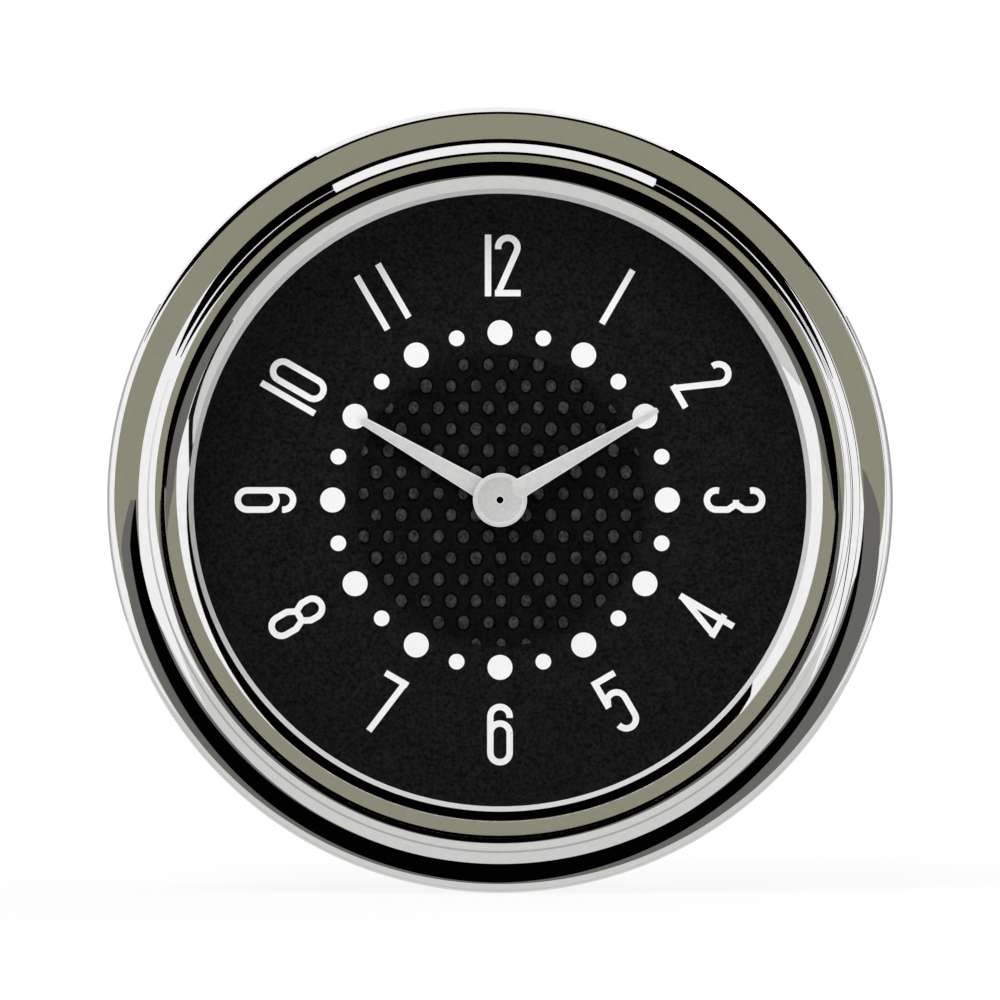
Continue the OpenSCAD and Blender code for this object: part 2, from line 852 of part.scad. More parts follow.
module minute_hand() {
    top = minute_hand_z + hand_t;
    color("silver") face_forward() rotate(-minute_angle) difference() {
        union() {
            slab(hand_points(hand_root_w, minute_tip_w, minute_hand_len), minute_hand_z, top);
            rod(hub_r, minute_hand_z, top + hub_rim_t);
            rod(hub_boss_r, hub_boss_back, minute_hand_z + cut);
        }
        hub_dish(top - dish_sink, top + hub_rim_t);
        rod(nose_r + fixed_fit, hub_boss_back - cut, nose_top);
        rod(hub_hole_r, hub_boss_back, top + hub_rim_t + cut);
    }
}

// Motion work

module cannon_pinion() {
    back = minute_wheel_back - shoulder_play;
    color("goldenrod") face_forward() difference() {
        union() {
            pinion(cannon_teeth, motion_module, set_dir, back, minute_wheel_front + shoulder_play);
            rod(cannon_tube_r, back, hub_boss_back);
            rod(nose_r, hub_boss_back - cut, nose_top - run_fit);
        }
        rod(centre_arbor_r + run_fit, back - cut, hour_hand_z);
    }
}

module hour_wheel() {
    color("goldenrod") face_forward() difference() {
        union() {
            wheel(hour_teeth, motion_module, set_dir, hour_wheel_back, hour_wheel_front, hour_pipe_r);
            rod(hour_boss_r, hour_wheel_back, hour_wheel_front);
            rod(hour_pipe_r, hour_wheel_back, hour_pipe_top);
        }
        rod(cannon_tube_r + run_fit, hour_wheel_back - cut, hour_pipe_top + cut);
    }
}

module minute_wheel() {
    color("goldenrod") face_forward() at(set_at)
        wheel(
            minute_teeth, motion_module, set_dir + 180,
            minute_wheel_back, minute_wheel_front, set_arbor_r + fixed_fit
        );
}

module set_arbor() {
    collar_front = front_plate_back - shoulder_play;
    pinion_front = hour_wheel_front + shoulder_play;
    color("lightsteelblue") face_forward() at(set_at) {
        rod(set_arbor_r, knob_front - knob_bore, minute_wheel_front + cut);
        pinion(set_pinion_teeth, motion_module, set_dir + 180, minute_wheel_front, pinion_front);
        rod(set_collar_r, collar_front - set_collar_t, collar_front);
    }
}

module set_knob() {
    knob_back = knob_front - knob_h;
    color("dimgray") face_forward() at(set_at) difference() {
        slab(knurl_points(knob_r, knob_flutes, knob_flute_depth), knob_back, knob_front);
        rod(set_arbor_r + fixed_fit, knob_front - knob_bore, knob_front + cut);
    }
}

module set_bush() {
    flange_front = case_floor + set_bush_flange_t;
    color("goldenrod") face_forward() at(set_at) difference() {
        union() {
            rod(set_bush_r, set_bush_out, case_floor);
            rod(set_bush_flange_r, case_floor, flange_front);
        }
        rod(set_arbor_r + run_fit, set_bush_out - cut, flange_front + cut);
    }
}

// Movement frame

module train_pivot_holes(from, to) {
    for (place = [third_at, fourth_at, fifth_at, rotor_at]) {
        at(place) rod(train_pivot_r + run_fit, from, to);
    }
}

module front_plate() {
    from = front_plate_back - cut;
    to = front_plate_front + cut;
    color("khaki") face_forward() difference() {
        rod(plate_r, front_plate_back, front_plate_front);
        rod(centre_arbor_r + run_fit, from, to);
        at(set_at) rod(set_arbor_r + run_fit, from, to);
        both_sides(dial_foot_at) rod(dial_foot_r + fixed_fit, from, to);
        at_pillars() rod(screw_r + fixed_fit, from, to);
        train_pivot_holes(from, to);
    }
}

module back_plate() {
    from = back_plate_back - cut;
    to = back_plate_front + cut;
    color("khaki") face_forward() difference() {
        rod(plate_r, back_plate_back, back_plate_front);
        rod(train_pivot_r + run_fit, from, to);
        at(set_at) rod(set_arbor_r + run_fit, from, to);
        at_pillars() rod(screw_r + fixed_fit, from, to);
        train_pivot_holes(from, to);
    }
}

module plate_pillars() {
    color("goldenrod") face_forward() at_pillars()
        ring(pillar_r, screw_r + fixed_fit, back_plate_front, front_plate_back);
}

module plate_screws() {
    head_top = front_plate_front + screw_head_t;
    color("lightsteelblue") face_forward() at_pillars() difference() {
        union() {
            rod(screw_head_r, front_plate_front, head_top);
            rod(screw_r, front_plate_back - screw_depth, front_plate_front);
        }
        screw_slot(screw_head_r, head_top);
    }
}

// Slot across a screw head
module screw_slot(head_r, head_top) {
    translate([-head_r - cut, -screw_slot_w / 2, head_top - screw_slot_depth])
        cube([2 * (head_r + cut), screw_slot_w, screw_slot_depth + cut]);
}

module board_spacers() {
    color("goldenrod") face_forward() at_pillars() difference() {
        union() {
            rod(pillar_r, board_front, back_plate_back);
            rod(screw_r, back_plate_back, back_plate_front + screw_depth);
        }
        rod(screw_r + fixed_fit, board_front - cut, board_front + spacer_thread);
    }
}

module circuit_board() {
    from = board_back - cut;
    to = board_front + cut;
    color("seagreen") face_forward() difference() {
        rod(board_r, board_back, board_front);
        at(set_at) rod(board_hole_r, from, to);
        at_pillars() rod(screw_r + fixed_fit, from, to);
    }
}

module rear_spacers() {
    color("goldenrod") face_forward() at_pillars() difference() {
        union() {
            rod(rear_spacer_r, case_floor, board_back);
            rod(screw_r, board_back, board_front + spacer_thread - thread_end_gap);
        }
        rod(case_screw_r + fixed_fit, case_floor - cut, case_floor + case_screw_depth);
    }
}

module case_screws() {
    head_back = case_back - case_screw_head_t;
    color("lightsteelblue") face_forward() at_pillars() difference() {
        union() {
            rod(case_screw_head_r, head_back, case_back);
            rod(case_screw_r, case_back, case_floor + case_screw_depth - thread_end_gap);
        }
        translate([0, 0, head_back]) mirror([0, 0, 1]) screw_slot(case_screw_head_r, 0);
    }
}

// Going train

// An arbor between the plates with a pivot at each end
module train_arbor() {
    rod(train_arbor_r, back_plate_front + shoulder_play, front_plate_back - shoulder_play);
    rod(train_pivot_r, back_plate_back, front_plate_front);
}

module centre_arbor() {
    color("lightsteelblue") face_forward() {
        rod(centre_arbor_r, back_plate_front + shoulder_play, hour_hand_z - tube_play);
        rod(train_pivot_r, back_plate_back, back_plate_front + shoulder_play);
    }
}

module centre_wheel() {
    color("goldenrod") face_forward()
        wheel(
            centre_teeth, centre_module, third_dir,
            centre_level, centre_level + train_wheel_t, centre_arbor_r + fixed_fit
        );
}

// An arbor whose pinion drives the wheel that lies in direction toward
module pinion_arbor(place, teeth, size, toward, level) {
    at(place) {
        train_arbor();
        pinion(teeth, size, toward, level - pinion_over, level + train_wheel_t + pinion_over);
    }
}

module train_wheel(place, teeth, size, toward, level) {
    at(place) wheel(teeth, size, toward, level, level + train_wheel_t, train_arbor_r + fixed_fit);
}

module third_arbor() {
    color("lightsteelblue") face_forward()
        pinion_arbor(third_at, third_pinion_teeth, centre_module, third_dir + 180, centre_level);
}

module third_wheel() {
    color("goldenrod") face_forward()
        train_wheel(third_at, third_teeth, third_module, fourth_dir, third_level);
}

module fourth_arbor() {
    color("lightsteelblue") face_forward()
        pinion_arbor(fourth_at, fourth_pinion_teeth, third_module, fourth_dir + 180, third_level);
}

module fourth_wheel() {
    color("goldenrod") face_forward()
        train_wheel(fourth_at, fourth_teeth, fourth_module, fifth_dir, fourth_level);
}

module fifth_arbor() {
    color("lightsteelblue") face_forward()
        pinion_arbor(fifth_at, fifth_pinion_teeth, fourth_module, fifth_dir + 180, fourth_level);
}

module fifth_wheel() {
    color("goldenrod") face_forward()
        train_wheel(fifth_at, fifth_teeth, fifth_module, rotor_dir, fifth_level);
}

module rotor_arbor() {
    color("lightsteelblue") face_forward()
        pinion_arbor(rotor_at, rotor_pinion_teeth, fifth_module, rotor_dir + 180, fifth_level);
}

module rotor_magnet() {
    color("dimgray") face_forward() at(rotor_at)
        ring(magnet_r, train_arbor_r + fixed_fit, stator_mid - magnet_h / 2, stator_mid + magnet_h / 2);
}

// Motor

module stator_bar(from, to) {
    slab(ribbon([from, to], stator_arm_w), stator_back, stator_front);
}

module stator() {
    half_arm = stator_arm_w / 2;
    color("slategray") face_forward() difference() {
        union() {
            at(rotor_at) rod(stator_eye_r, stator_back, stator_front);
            stator_bar(rotor_at, [coil_x + half_arm, arm_top_y]);
            stator_bar([arm_x, rotor_at[1]], [arm_x, arm_low_y - half_arm]);
            stator_bar([arm_x, arm_low_y], [coil_x + half_arm, arm_low_y]);
        }
        at(rotor_at) rod(stator_hole_r, stator_back - cut, stator_front + cut);
    }
}

module stator_posts() {
    color("goldenrod") face_forward() {
        at([arm_x, arm_low_y]) rod(stator_post_r, back_plate_front, stator_back);
        at([(rotor_at[0] + coil_x) / 2, arm_top_y]) rod(stator_post_r, back_plate_front, stator_back);
    }
}

module coil_core() {
    half_arm = stator_arm_w / 2;
    color("slategray") face_forward()
        translate([coil_x - core_w / 2, arm_low_y - half_arm, core_back])
        cube([core_w, arm_top_y - arm_low_y + stator_arm_w, core_t]);
}

// Lies a solid that stands on the coil's axis along the core
module along_core() {
    translate([coil_x, 0, coil_z]) rotate([90, 0, 0]) children();
}

module coil_bobbin() {
    half = bobbin_len / 2;
    color("ivory") face_forward() difference() {
        along_core() {
            rod(bobbin_core_r, -half, half);
            rod(bobbin_r, -half, -half + bobbin_flange_t);
            rod(bobbin_r, half - bobbin_flange_t, half);
        }
        translate([coil_x - core_w / 2 - fixed_fit, -half - cut, core_back - fixed_fit])
            cube([core_w + 2 * fixed_fit, bobbin_len + 2 * cut, core_t + 2 * fixed_fit]);
    }
}

module coil_winding() {
    half = bobbin_len / 2 - bobbin_flange_t;
    color("peru") face_forward() along_core()
        ring(winding_r, bobbin_core_r + fixed_fit, -half, half);
}

// Parts on the circuit board

module control_chip() {
    color("black") face_forward() at(chip_at)
        translate([0, 0, board_back - chip_size[2]]) cube(chip_size);
}

// A round can that lies on the board, with a narrow flat where it touches
module quartz_crystal() {
    color("silver") face_forward() at(crystal_at) difference() {
        translate([0, 0, board_back + crystal_flat - crystal_r]) rotate([-90, 0, 0])
            cylinder(r = crystal_r, h = crystal_len);
        translate([-crystal_r, -cut, board_back])
            cube([2 * crystal_r, crystal_len + 2 * cut, crystal_r]);
    }
}

module capacitor() {
    color("steelblue") face_forward() at(capacitor_at)
        rod(capacitor_r, board_back - capacitor_h, board_back);
}

// Back of the case

module power_terminals() {
    collar_back = case_back - insulator_t - terminal_collar_t;
    color("goldenrod") face_forward() both_sides(terminal_at) difference() {
        union() {
            rod(terminal_r, collar_back, board_back);
            rod(terminal_collar_r, collar_back, collar_back + terminal_collar_t);
            translate([-blade_w / 2, -blade_t / 2, collar_back - blade_len])
                cube([blade_w, blade_t, blade_len]);
        }
        translate([0, blade_t, collar_back - blade_len / 2]) rotate([90, 0, 0])
            cylinder(r = blade_hole_r, h = 2 * blade_t);
    }
}

module terminal_insulators() {
    color("ivory") face_forward() both_sides(terminal_at) difference() {
        union() {
            rod(insulator_flange_r, case_back - insulator_t, case_back);
            rod(insulator_neck_r, case_back, case_floor);
            rod(insulator_flange_r, case_floor, case_floor + insulator_t);
        }
        rod(terminal_r + fixed_fit, case_back - insulator_t - cut, case_floor + insulator_t + cut);
    }
}

module lamp_holders() {
    mouth = case_floor + lamp_inside;
    flange_back = case_back - lamp_flange_t;
    grip = knurl_points(lamp_grip_r, lamp_flutes, lamp_flute_depth);
    color("dimgray") face_forward() both_sides(lamp_at) difference() {
        union() {
            rod(lamp_body_r, case_back, mouth);
            rod(lamp_flange_r, flange_back, case_back);
            slab(grip, flange_back - lamp_grip_h, flange_back);
        }
        rod(bulb_r + fixed_fit, mouth - bulb_seat, mouth + cut);
    }
}

module lamp_bulbs() {
    color("lightyellow") face_forward() both_sides(lamp_at) rotate_extrude()
        polygon(concat(
            [[0, bulb_base], [bulb_r, bulb_base]],
            arc([0, bulb_tip - bulb_r], bulb_r, 0, 90, 8)
        ));
}

// Panel clamp

module mounting_studs() {
    color("goldenrod") face_forward() both_sides(stud_at) {
        rod(stud_head_r, case_floor, case_floor + stud_head_t);
        rod(stud_r, stud_end + stud_chamfer, case_floor);
        translate([0, 0, stud_end])
            cylinder(r1 = stud_r - stud_chamfer, r2 = stud_r, h = stud_chamfer);
    }
}

module stud_nuts() {
    across_corners = stud_nut_flats / cos(30);
    color("lightsteelblue") face_forward() both_sides(stud_at) difference() {
        translate([0, 0, case_back - stud_nut_t]) cylinder(d = across_corners, h = stud_nut_t, $fn = 6);
        rod(stud_r + fixed_fit, case_back - stud_nut_t - cut, case_back + cut);
    }
}

module clamp_bracket() {
    leg_end = -clamp_gap;
    bend_out = clamp_bend_r + clamp_t;
    bend_x = clamp_out_x - bend_out;
    bend_z = bridge_back + bend_out;
    color("lightsteelblue") face_forward() difference() {
        rotate([90, 0, 0]) linear_extrude(clamp_w, center = true) polygon(concat(
            [[-clamp_in_x, leg_end], [-clamp_out_x, leg_end]],
            arc([-bend_x, bend_z], bend_out, 180, 270, 8),
            arc([bend_x, bend_z], bend_out, -90, 0, 8),
            [[clamp_out_x, leg_end], [clamp_in_x, leg_end]],
            arc([bend_x, bend_z], clamp_bend_r, 0, -90, 8),
            arc([-bend_x, bend_z], clamp_bend_r, 270, 180, 8)
        ));
        both_sides(stud_at) rod(stud_r + shell_gap, bridge_back - cut, bridge_front + cut);
    }
}

module clamp_washers() {
    color("lightsteelblue") face_forward() both_sides(stud_at)
        ring(washer_r, stud_r + shell_gap, washer_back, bridge_back);
}

module thumb_nut(side) {
    outline = knurl_points(thumb_nut_r, thumb_nut_flutes, thumb_nut_flute_depth);
    color("goldenrod") face_forward() at([side * stud_at[0], stud_at[1]]) difference() {
        slab(outline, thumb_nut_back, washer_back);
        rod(stud_r + run_fit, thumb_nut_back - cut, washer_back + cut);
    }
}

module thumb_nut_left() {
    thumb_nut(-1);
}

module thumb_nut_right() {
    thumb_nut(1);
}

bezel();
lens();
lens_gasket();
trim_ring();
case_gasket();
case_shell();
dial_plate();
dial_feet();
dial_numerals();
dial_dots();
hour_hand();
minute_hand();
hour_wheel();
cannon_pinion();
minute_wheel();
set_arbor();
set_knob();
set_bush();
front_plate();
back_plate();
plate_pillars();
plate_screws();
board_spacers();
circuit_board();
rear_spacers();
case_screws();
centre_arbor();
centre_wheel();
third_arbor();
third_wheel();
fourth_arbor();
fourth_wheel();
fifth_arbor();
fifth_wheel();
rotor_arbor();
rotor_magnet();
stator();
stator_posts();
coil_core();
coil_bobbin();
coil_winding();
control_chip();
quartz_crystal();
capacitor();
power_terminals();
terminal_insulators();
lamp_holders();
lamp_bulbs();
mounting_studs();
stud_nuts();
clamp_bracket();
clamp_washers();
thumb_nut_left();
thumb_nut_right();
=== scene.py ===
"""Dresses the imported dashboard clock: bezel, glass, dial, hands, case, rear fittings and movement.

Sizes are in millimetres in the dial's own frame, with x to the right, y towards 12 and z towards
the viewer. Meshes are written in metres in the part's frame, whose dial faces -Y.
"""

import logging
import math
from dataclasses import dataclass
from enum import Enum
from functools import partial
from typing import Any, Callable, Sequence

import bmesh
import bpy
from mathutils import Matrix


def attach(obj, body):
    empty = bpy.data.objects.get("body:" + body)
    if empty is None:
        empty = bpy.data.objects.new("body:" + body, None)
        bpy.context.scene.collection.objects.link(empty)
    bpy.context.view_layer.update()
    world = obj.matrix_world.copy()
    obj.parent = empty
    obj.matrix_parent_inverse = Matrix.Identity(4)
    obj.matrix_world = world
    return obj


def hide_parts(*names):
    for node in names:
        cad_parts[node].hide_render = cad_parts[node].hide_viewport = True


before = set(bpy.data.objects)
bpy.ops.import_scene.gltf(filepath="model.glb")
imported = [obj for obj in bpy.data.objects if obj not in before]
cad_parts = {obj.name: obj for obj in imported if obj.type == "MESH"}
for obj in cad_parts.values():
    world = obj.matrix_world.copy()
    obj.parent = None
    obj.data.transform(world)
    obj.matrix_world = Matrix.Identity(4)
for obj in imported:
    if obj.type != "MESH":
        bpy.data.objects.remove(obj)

Pair = tuple[float, float]
Triple = tuple[float, float, float]
Outline = list[Pair]
Mesh = bmesh.types.BMesh
Corner = bmesh.types.BMVert
Piece = bpy.types.Object
Tree = bpy.types.NodeTree
Node = bpy.types.Node
Socket = bpy.types.NodeSocket
Material = bpy.types.Material
Adder = Callable[..., Node]

LOG = logging.getLogger("clock")
MM = 0.001
DIAL_TO_PART = Matrix.Rotation(math.pi / 2, 4, "X") @ Matrix.Scale(MM, 4)
# A length in a mesh's own units that is too small to show.
TINY = 1e-6
WHITE = "#ffffff"
FLOAT, COUNT = "NodeSocketFloat", "NodeSocketInt"
VECTOR, MATERIAL = "NodeSocketVector", "NodeSocketMaterial"


def linear(code: str) -> tuple[float, float, float, float]:
    """Turns an sRGB hex colour into linear RGBA.

    Args:
        code: Colour such as "#8b8979".

    Returns:
        Red, green, blue and an alpha of 1.
    """
    parts = [int(code[i:i + 2], 16) / 255 for i in (1, 3, 5)]
    red, green, blue = (p / 12.92 if p <= 0.04045 else ((p + 0.055) / 1.055) ** 2.4 for p in parts)
    return red, green, blue, 1.0


def add_node(tree: Tree, kind: str, inputs: dict[Any, Any] | None = None,
             **settings: Any) -> Node:
    """Adds one node with its settings, input values and links.

    Args:
        tree: Node tree that gets the node.
        kind: Blender's name for the node type.
        inputs: A value, an output socket or a node, which stands for its first output, for each
            input by name or number.
        settings: Properties of the node itself.

    Returns:
        The new node.
    """
    made = tree.nodes.new(kind)
    for key, value in settings.items():
        setattr(made, key, value)
    for key, value in (inputs or {}).items():
        if isinstance(value, (Node, Socket)):
            tree.links.new(value.outputs[0] if isinstance(value, Node) else value, made.inputs[key])
        else:
            made.inputs[key].default_value = value
    return made


def new_material(name: str) -> tuple[Material, Adder]:
    """Makes a material with an empty node tree.

    Args:
        name: Name of the real material.

    Returns:
        The material, and add_node for its tree.
    """
    made = bpy.data.materials.new(name)
    made.use_nodes = True
    made.node_tree.nodes.clear()
    return made, partial(add_node, made.node_tree)


class Grain(Enum):
    """How a finish's pattern lies on the surface."""

    EVEN = (1.0, 1.0, 1.0)
    ACROSS = (0.04, 1.0, 1.0)
    ALONG = (1.0, 0.05, 1.0)
    ROLLED = (1.0, 1.0, 0.06)


@dataclass(frozen=True)
class Surface:
    """What a piece is dressed in."""

    name: str

    def material(self) -> Material:
        """Returns the surface's material, made at its first use."""
        return bpy.data.materials.get(self.name) or self.make()

    def make(self) -> Material:
        """Builds the material, which each kind of surface does in its own way."""
        raise NotImplementedError


@dataclass(frozen=True)
class Finish(Surface):
    """A finish with a fine pattern in its colour, roughness and relief.

    The pattern is a noise with cells of grain_mm. Where it goes from the low to the high end of
    spread, the colour goes to the shade and the roughness from its first value to its second.
    """

    colour: str
    shade: str
    grain_mm: float
    roughness: Pair
    metallic: float = 0.0
    specular: float = 0.5
    relief_mm: float = 0.0
    grain: Grain = Grain.EVEN
    coat: float = 0.0
    coat_roughness: float = 0.08
    detail: float = 3.0
    spread: Pair = (0.3, 0.7)

    def make(self) -> Material:
        """Builds the node tree.

        Returns:
            The new material.
        """
        made, add = new_material(self.name)
        coords = add("ShaderNodeTexCoord")
        turned = add("ShaderNodeMapping", {
            "Vector": coords.outputs["Object"], "Scale": self.grain.value})
        noise = add("ShaderNodeTexNoise", {
            "Vector": turned, "Scale": 1 / (self.grain_mm * MM), "Detail": self.detail})
        spread = add("ShaderNodeMapRange", {
            "Value": noise, "From Min": self.spread[0], "From Max": self.spread[1]})
        tint = add("ShaderNodeMix", {
            0: spread, 6: linear(self.colour), 7: linear(self.shade)}, data_type="RGBA")
        rough = add("ShaderNodeMapRange", {
            "Value": spread, "To Min": self.roughness[0], "To Max": self.roughness[1]})
        inputs = {
            "Base Color": tint.outputs[2], "Roughness": rough,
            "Metallic": self.metallic, "Specular IOR Level": self.specular,
            "Coat Weight": self.coat, "Coat Roughness": self.coat_roughness}
        if self.relief_mm:
            bump = add("ShaderNodeBump", {
                "Height": spread, "Strength": 1.0, "Distance": self.relief_mm * MM})
            inputs["Normal"] = bump
        shader = add("ShaderNodeBsdfPrincipled", inputs)
        add("ShaderNodeOutputMaterial", {"Surface": shader})
        return made


@dataclass(frozen=True)
class DialPaint(Surface):
    """Black dial paint: a fine grey grain outside, and a deeper black in the round centre field."""

    outer: tuple[str, str] = ("#060506", "#232122")
    field: tuple[str, str] = ("#010101", "#181617")
    field_r: float = 11.25
    fade: float = 0.5
    grain_mm: float = 0.26
    detail: float = 4.0
    spread: Pair = (0.3, 0.72)
    relief_mm: float = 0.01
    relief_share: float = 0.5
    roughness: float = 0.75
    specular: float = 0.1

    def make(self) -> Material:
        """Builds the node tree.

        Returns:
            The new material.
        """
        made, add = new_material(self.name)
        coords = add("ShaderNodeTexCoord")
        noise = add("ShaderNodeTexNoise", {
            "Vector": coords.outputs["Object"], "Scale": 1 / (self.grain_mm * MM),
            "Detail": self.detail})
        spread = add("ShaderNodeMapRange", {
            "Value": noise, "From Min": self.spread[0], "From Max": self.spread[1]})
        flat = add("ShaderNodeVectorMath", {0: coords.outputs["Object"], 1: (1.0, 0.0, 1.0)},
                   operation="MULTIPLY")
        reach = add("ShaderNodeVectorMath", {0: flat}, operation="LENGTH")
        outside = add("ShaderNodeMapRange", {
            "Value": reach.outputs["Value"], "From Min": (self.field_r - self.fade) * MM,
            "From Max": (self.field_r + self.fade) * MM})
        tints = [add("ShaderNodeMix", {0: spread, 6: linear(dark), 7: linear(pale)},
                     data_type="RGBA").outputs[2] for dark, pale in (self.field, self.outer)]
        both = add("ShaderNodeMix", {0: outside, 6: tints[0], 7: tints[1]}, data_type="RGBA")
        bump = add("ShaderNodeBump", {
            "Height": spread, "Strength": self.relief_share,
            "Distance": self.relief_mm * MM})
        shader = add("ShaderNodeBsdfPrincipled", {
            "Base Color": both.outputs[2], "Roughness": self.roughness,
            "Specular IOR Level": self.specular, "Normal": bump})
        add("ShaderNodeOutputMaterial", {"Surface": shader})
        return made


@dataclass(frozen=True)
class ClearGlass(Surface):
    """Clear glass: light goes straight through, and its outer face mirrors more at a slant."""

    tint: str = WHITE
    ior: float = 1.5

    def make(self) -> Material:
        """Builds the node tree.

        Returns:
            The new material.
        """
        made, add = new_material(self.name)
        through = add("ShaderNodeBsdfTransparent", {"Color": linear(self.tint)})
        mirror = add("ShaderNodeBsdfGlossy", {"Color": linear(WHITE), "Roughness": 0.0})
        slant = add("ShaderNodeFresnel", {"IOR": self.ior})
        side = add("ShaderNodeNewGeometry")
        front = add("ShaderNodeMath", {0: 1.0, 1: side.outputs["Backfacing"]}, operation="SUBTRACT")
        share = add("ShaderNodeMath", {0: slant, 1: front}, operation="MULTIPLY")
        both = add("ShaderNodeMixShader", {0: share, 1: through, 2: mirror})
        add("ShaderNodeOutputMaterial", {"Surface": both})
        return made


# Grain sizes are in millimetres. A real grain finer than about 0.1 mm, such as tool marks or zinc
# crystals, is drawn as coarse as it needs to show.

# Bright chrome plate on drawn brass: a clean mirror with only a trace of polishing haze.
CHROME = Finish("chrome plate", "#f1f1f0", "#ececed", 0.6, (0.012, 0.03), metallic=1.0)
# Aluminium trim with a satin silver lacquer: pale and even.
TRIM = Finish("satin silver lacquer", "#e9e9e7", "#f3f3f1", 0.12, (0.38, 0.5), specular=0.4,
              relief_mm=0.001)
# Screen-printed ink: flat white with faint pinholes.
INK = Finish("white screen ink", "#fdfdfc", "#f4f4f3", 0.1, (0.55, 0.7), specular=0.2)
# Stamped aluminium hands with a matt silver lacquer, a little mottled.
HAND = Finish("matt silver lacquer", "#cacac9", "#d4d4d3", 0.5, (0.42, 0.55), specular=0.35,
              relief_mm=0.0015)
# Broken edges of the hands, painted brighter as a highlight where they catch the light.
EDGE_HIGHLIGHT = Finish("painted highlight on hand edges", "#f4f4f3", "#eaeae9", 0.3, (0.35, 0.5), specular=0.4)
# The hub's dish, turned in rings, and painted a little greyer than the blades as shade of the sunken
# dish.
DISH = Finish("silver lacquer with painted dish shade", "#bebebd", "#c9c9c8", 0.25, (0.4, 0.5), specular=0.35,
              relief_mm=0.001)
# Painted shade: a black disc set in the hub's bore, where the hole falls into shadow.
BORE_SHADE = Finish("painted shade in bore", "#050505", "#0a0a0a", 0.1, (0.7, 0.8), specular=0.1)
# Embossed nubs, rubbed smoother and greyer than the field.
NUB = Finish("embossed black paint", "#0d0d0d", "#494748", 0.24, (0.5, 0.65), specular=0.25,
             relief_mm=0.03)
# Painted shadow: a dark disc under each nub, a little wider than the nub.
NUB_SHADOW = Finish("painted shadow under nubs", "#020202", "#070707", 0.2, (0.7, 0.8), specular=0.1)
# Moulded nitrile rubber: dull black.
RUBBER = Finish("nitrile rubber", "#141414", "#1c1c1c", 0.15, (0.7, 0.85), specular=0.3,
                relief_mm=0.004)
# Deep-drawn steel with a clear zinc plate: grey with fine draw lines along the can.
CAN = Finish("zinc plated drawn steel", "#8e9092", "#a6a7a6", 0.35, (0.28, 0.44), metallic=1.0,
             relief_mm=0.0012, grain=Grain.ALONG)
# Zinc plated hardware: brighter, with a fine crystalline mottle.
ZINC = Finish("bright zinc plate", "#9fa3a8", "#b9bcbe", 0.22, (0.2, 0.36), metallic=1.0,
              relief_mm=0.001)
# Strip steel with rolling lines across the clamp.
STRIP = Finish("zinc plated strip steel", "#9a9da1", "#b2b4b5", 0.16, (0.24, 0.4), metallic=1.0,
               relief_mm=0.001, grain=Grain.ACROSS)
# Ground steel arbors: bright and smooth.
STEEL = Finish("ground steel", "#b4b6b9", "#c6c7c9", 0.1, (0.15, 0.28), metallic=1.0)
# Turned brass: warm, with fine tool marks and slight tarnish.
BRASS = Finish("turned brass", "#b08d44", "#c8a65a", 0.3, (0.2, 0.38), metallic=1.0,
               relief_mm=0.001)
# Rolled brass plates of the movement: warm, with lines along the roll.
PLATE = Finish("rolled brass sheet", "#b99a55", "#c9ab66", 0.2, (0.24, 0.36), metallic=1.0,
               grain=Grain.ROLLED)
# Tin plated blade terminals: a soft grey sheen with a little of the brass in it.
TINNED = Finish("tinned brass", "#b9b3a2", "#cfc9b8", 0.25, (0.22, 0.36), metallic=1.0,
                grain=Grain.ALONG)
# Glass-filled nylon mouldings: black with a slight spark-eroded texture.
NYLON_BLACK = Finish("moulded black nylon", "#1f1f1f", "#2a2a2a", 0.12, (0.45, 0.6), specular=0.4,
                     relief_mm=0.006)
# Natural nylon: milky and slightly glossy.
NYLON = Finish("natural nylon", "#dcd6c6", "#e6e1d3", 0.4, (0.35, 0.5), specular=0.45,
               relief_mm=0.002)
# Glass-epoxy board under green solder mask, with the weave just showing.
BOARD = Finish("green solder mask", "#1c5b36", "#256b41", 0.3, (0.25, 0.35), coat=0.3)
# Sintered magnet: dark grey and granular.
MAGNET = Finish("sintered ferrite", "#2f3032", "#3a3b3d", 0.08, (0.5, 0.65), specular=0.4,
                relief_mm=0.004)
# Annealed soft iron laminations: dark grey and half matt.
IRON = Finish("annealed soft iron", "#6a6e72", "#7b7f82", 0.25, (0.3, 0.45), metallic=1.0)
# Enamelled copper wire: red-brown under a glossy coat.
COPPER = Finish("enamelled copper wire", "#a2552c", "#b8683a", 0.2, (0.2, 0.3), metallic=1.0,
                coat=0.4)
# Drawn aluminium cans: pale and satin.
ALUMINIUM = Finish("drawn aluminium can", "#b9babb", "#cacbcc", 0.2, (0.26, 0.4), metallic=1.0)
# Sprayed dial paint: nearly black, with a grey sparkle of grit.
DIAL = DialPaint("textured black dial paint")
# Flat float glass: colourless, with a faint mirror.
PANE = ClearGlass("clear float glass")
# Blown lamp glass: slightly warm.
BULB = ClearGlass("bulb glass", "#fff6e2", 1.48)


def dress(finish: Surface, *nodes: str) -> None:
    """Gives CAD nodes a finish.

    Args:
        finish: What the nodes are made of.
        nodes: Names of the nodes.
    """
    for name in nodes:
        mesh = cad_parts[name].data
        mesh.materials.clear()
        mesh.materials.append(finish.material())
        LOG.info("%s: %s", name, finish.name)


def arc(x: float, z: float, r: float, start: float, stop: float, steps: int) -> Outline:
    """Returns points on an arc.

    Args:
        x: Centre's first coordinate.
        z: Centre's second coordinate.
        r: Radius.
        start: First angle in degrees.
        stop: Last angle in degrees.
        steps: Number of steps.

    Returns:
        The points, both ends included.
    """
    angles = [math.radians(start + (stop - start) * i / steps) for i in range(steps + 1)]
    return [(x + r * math.cos(a), z + r * math.sin(a)) for a in angles]


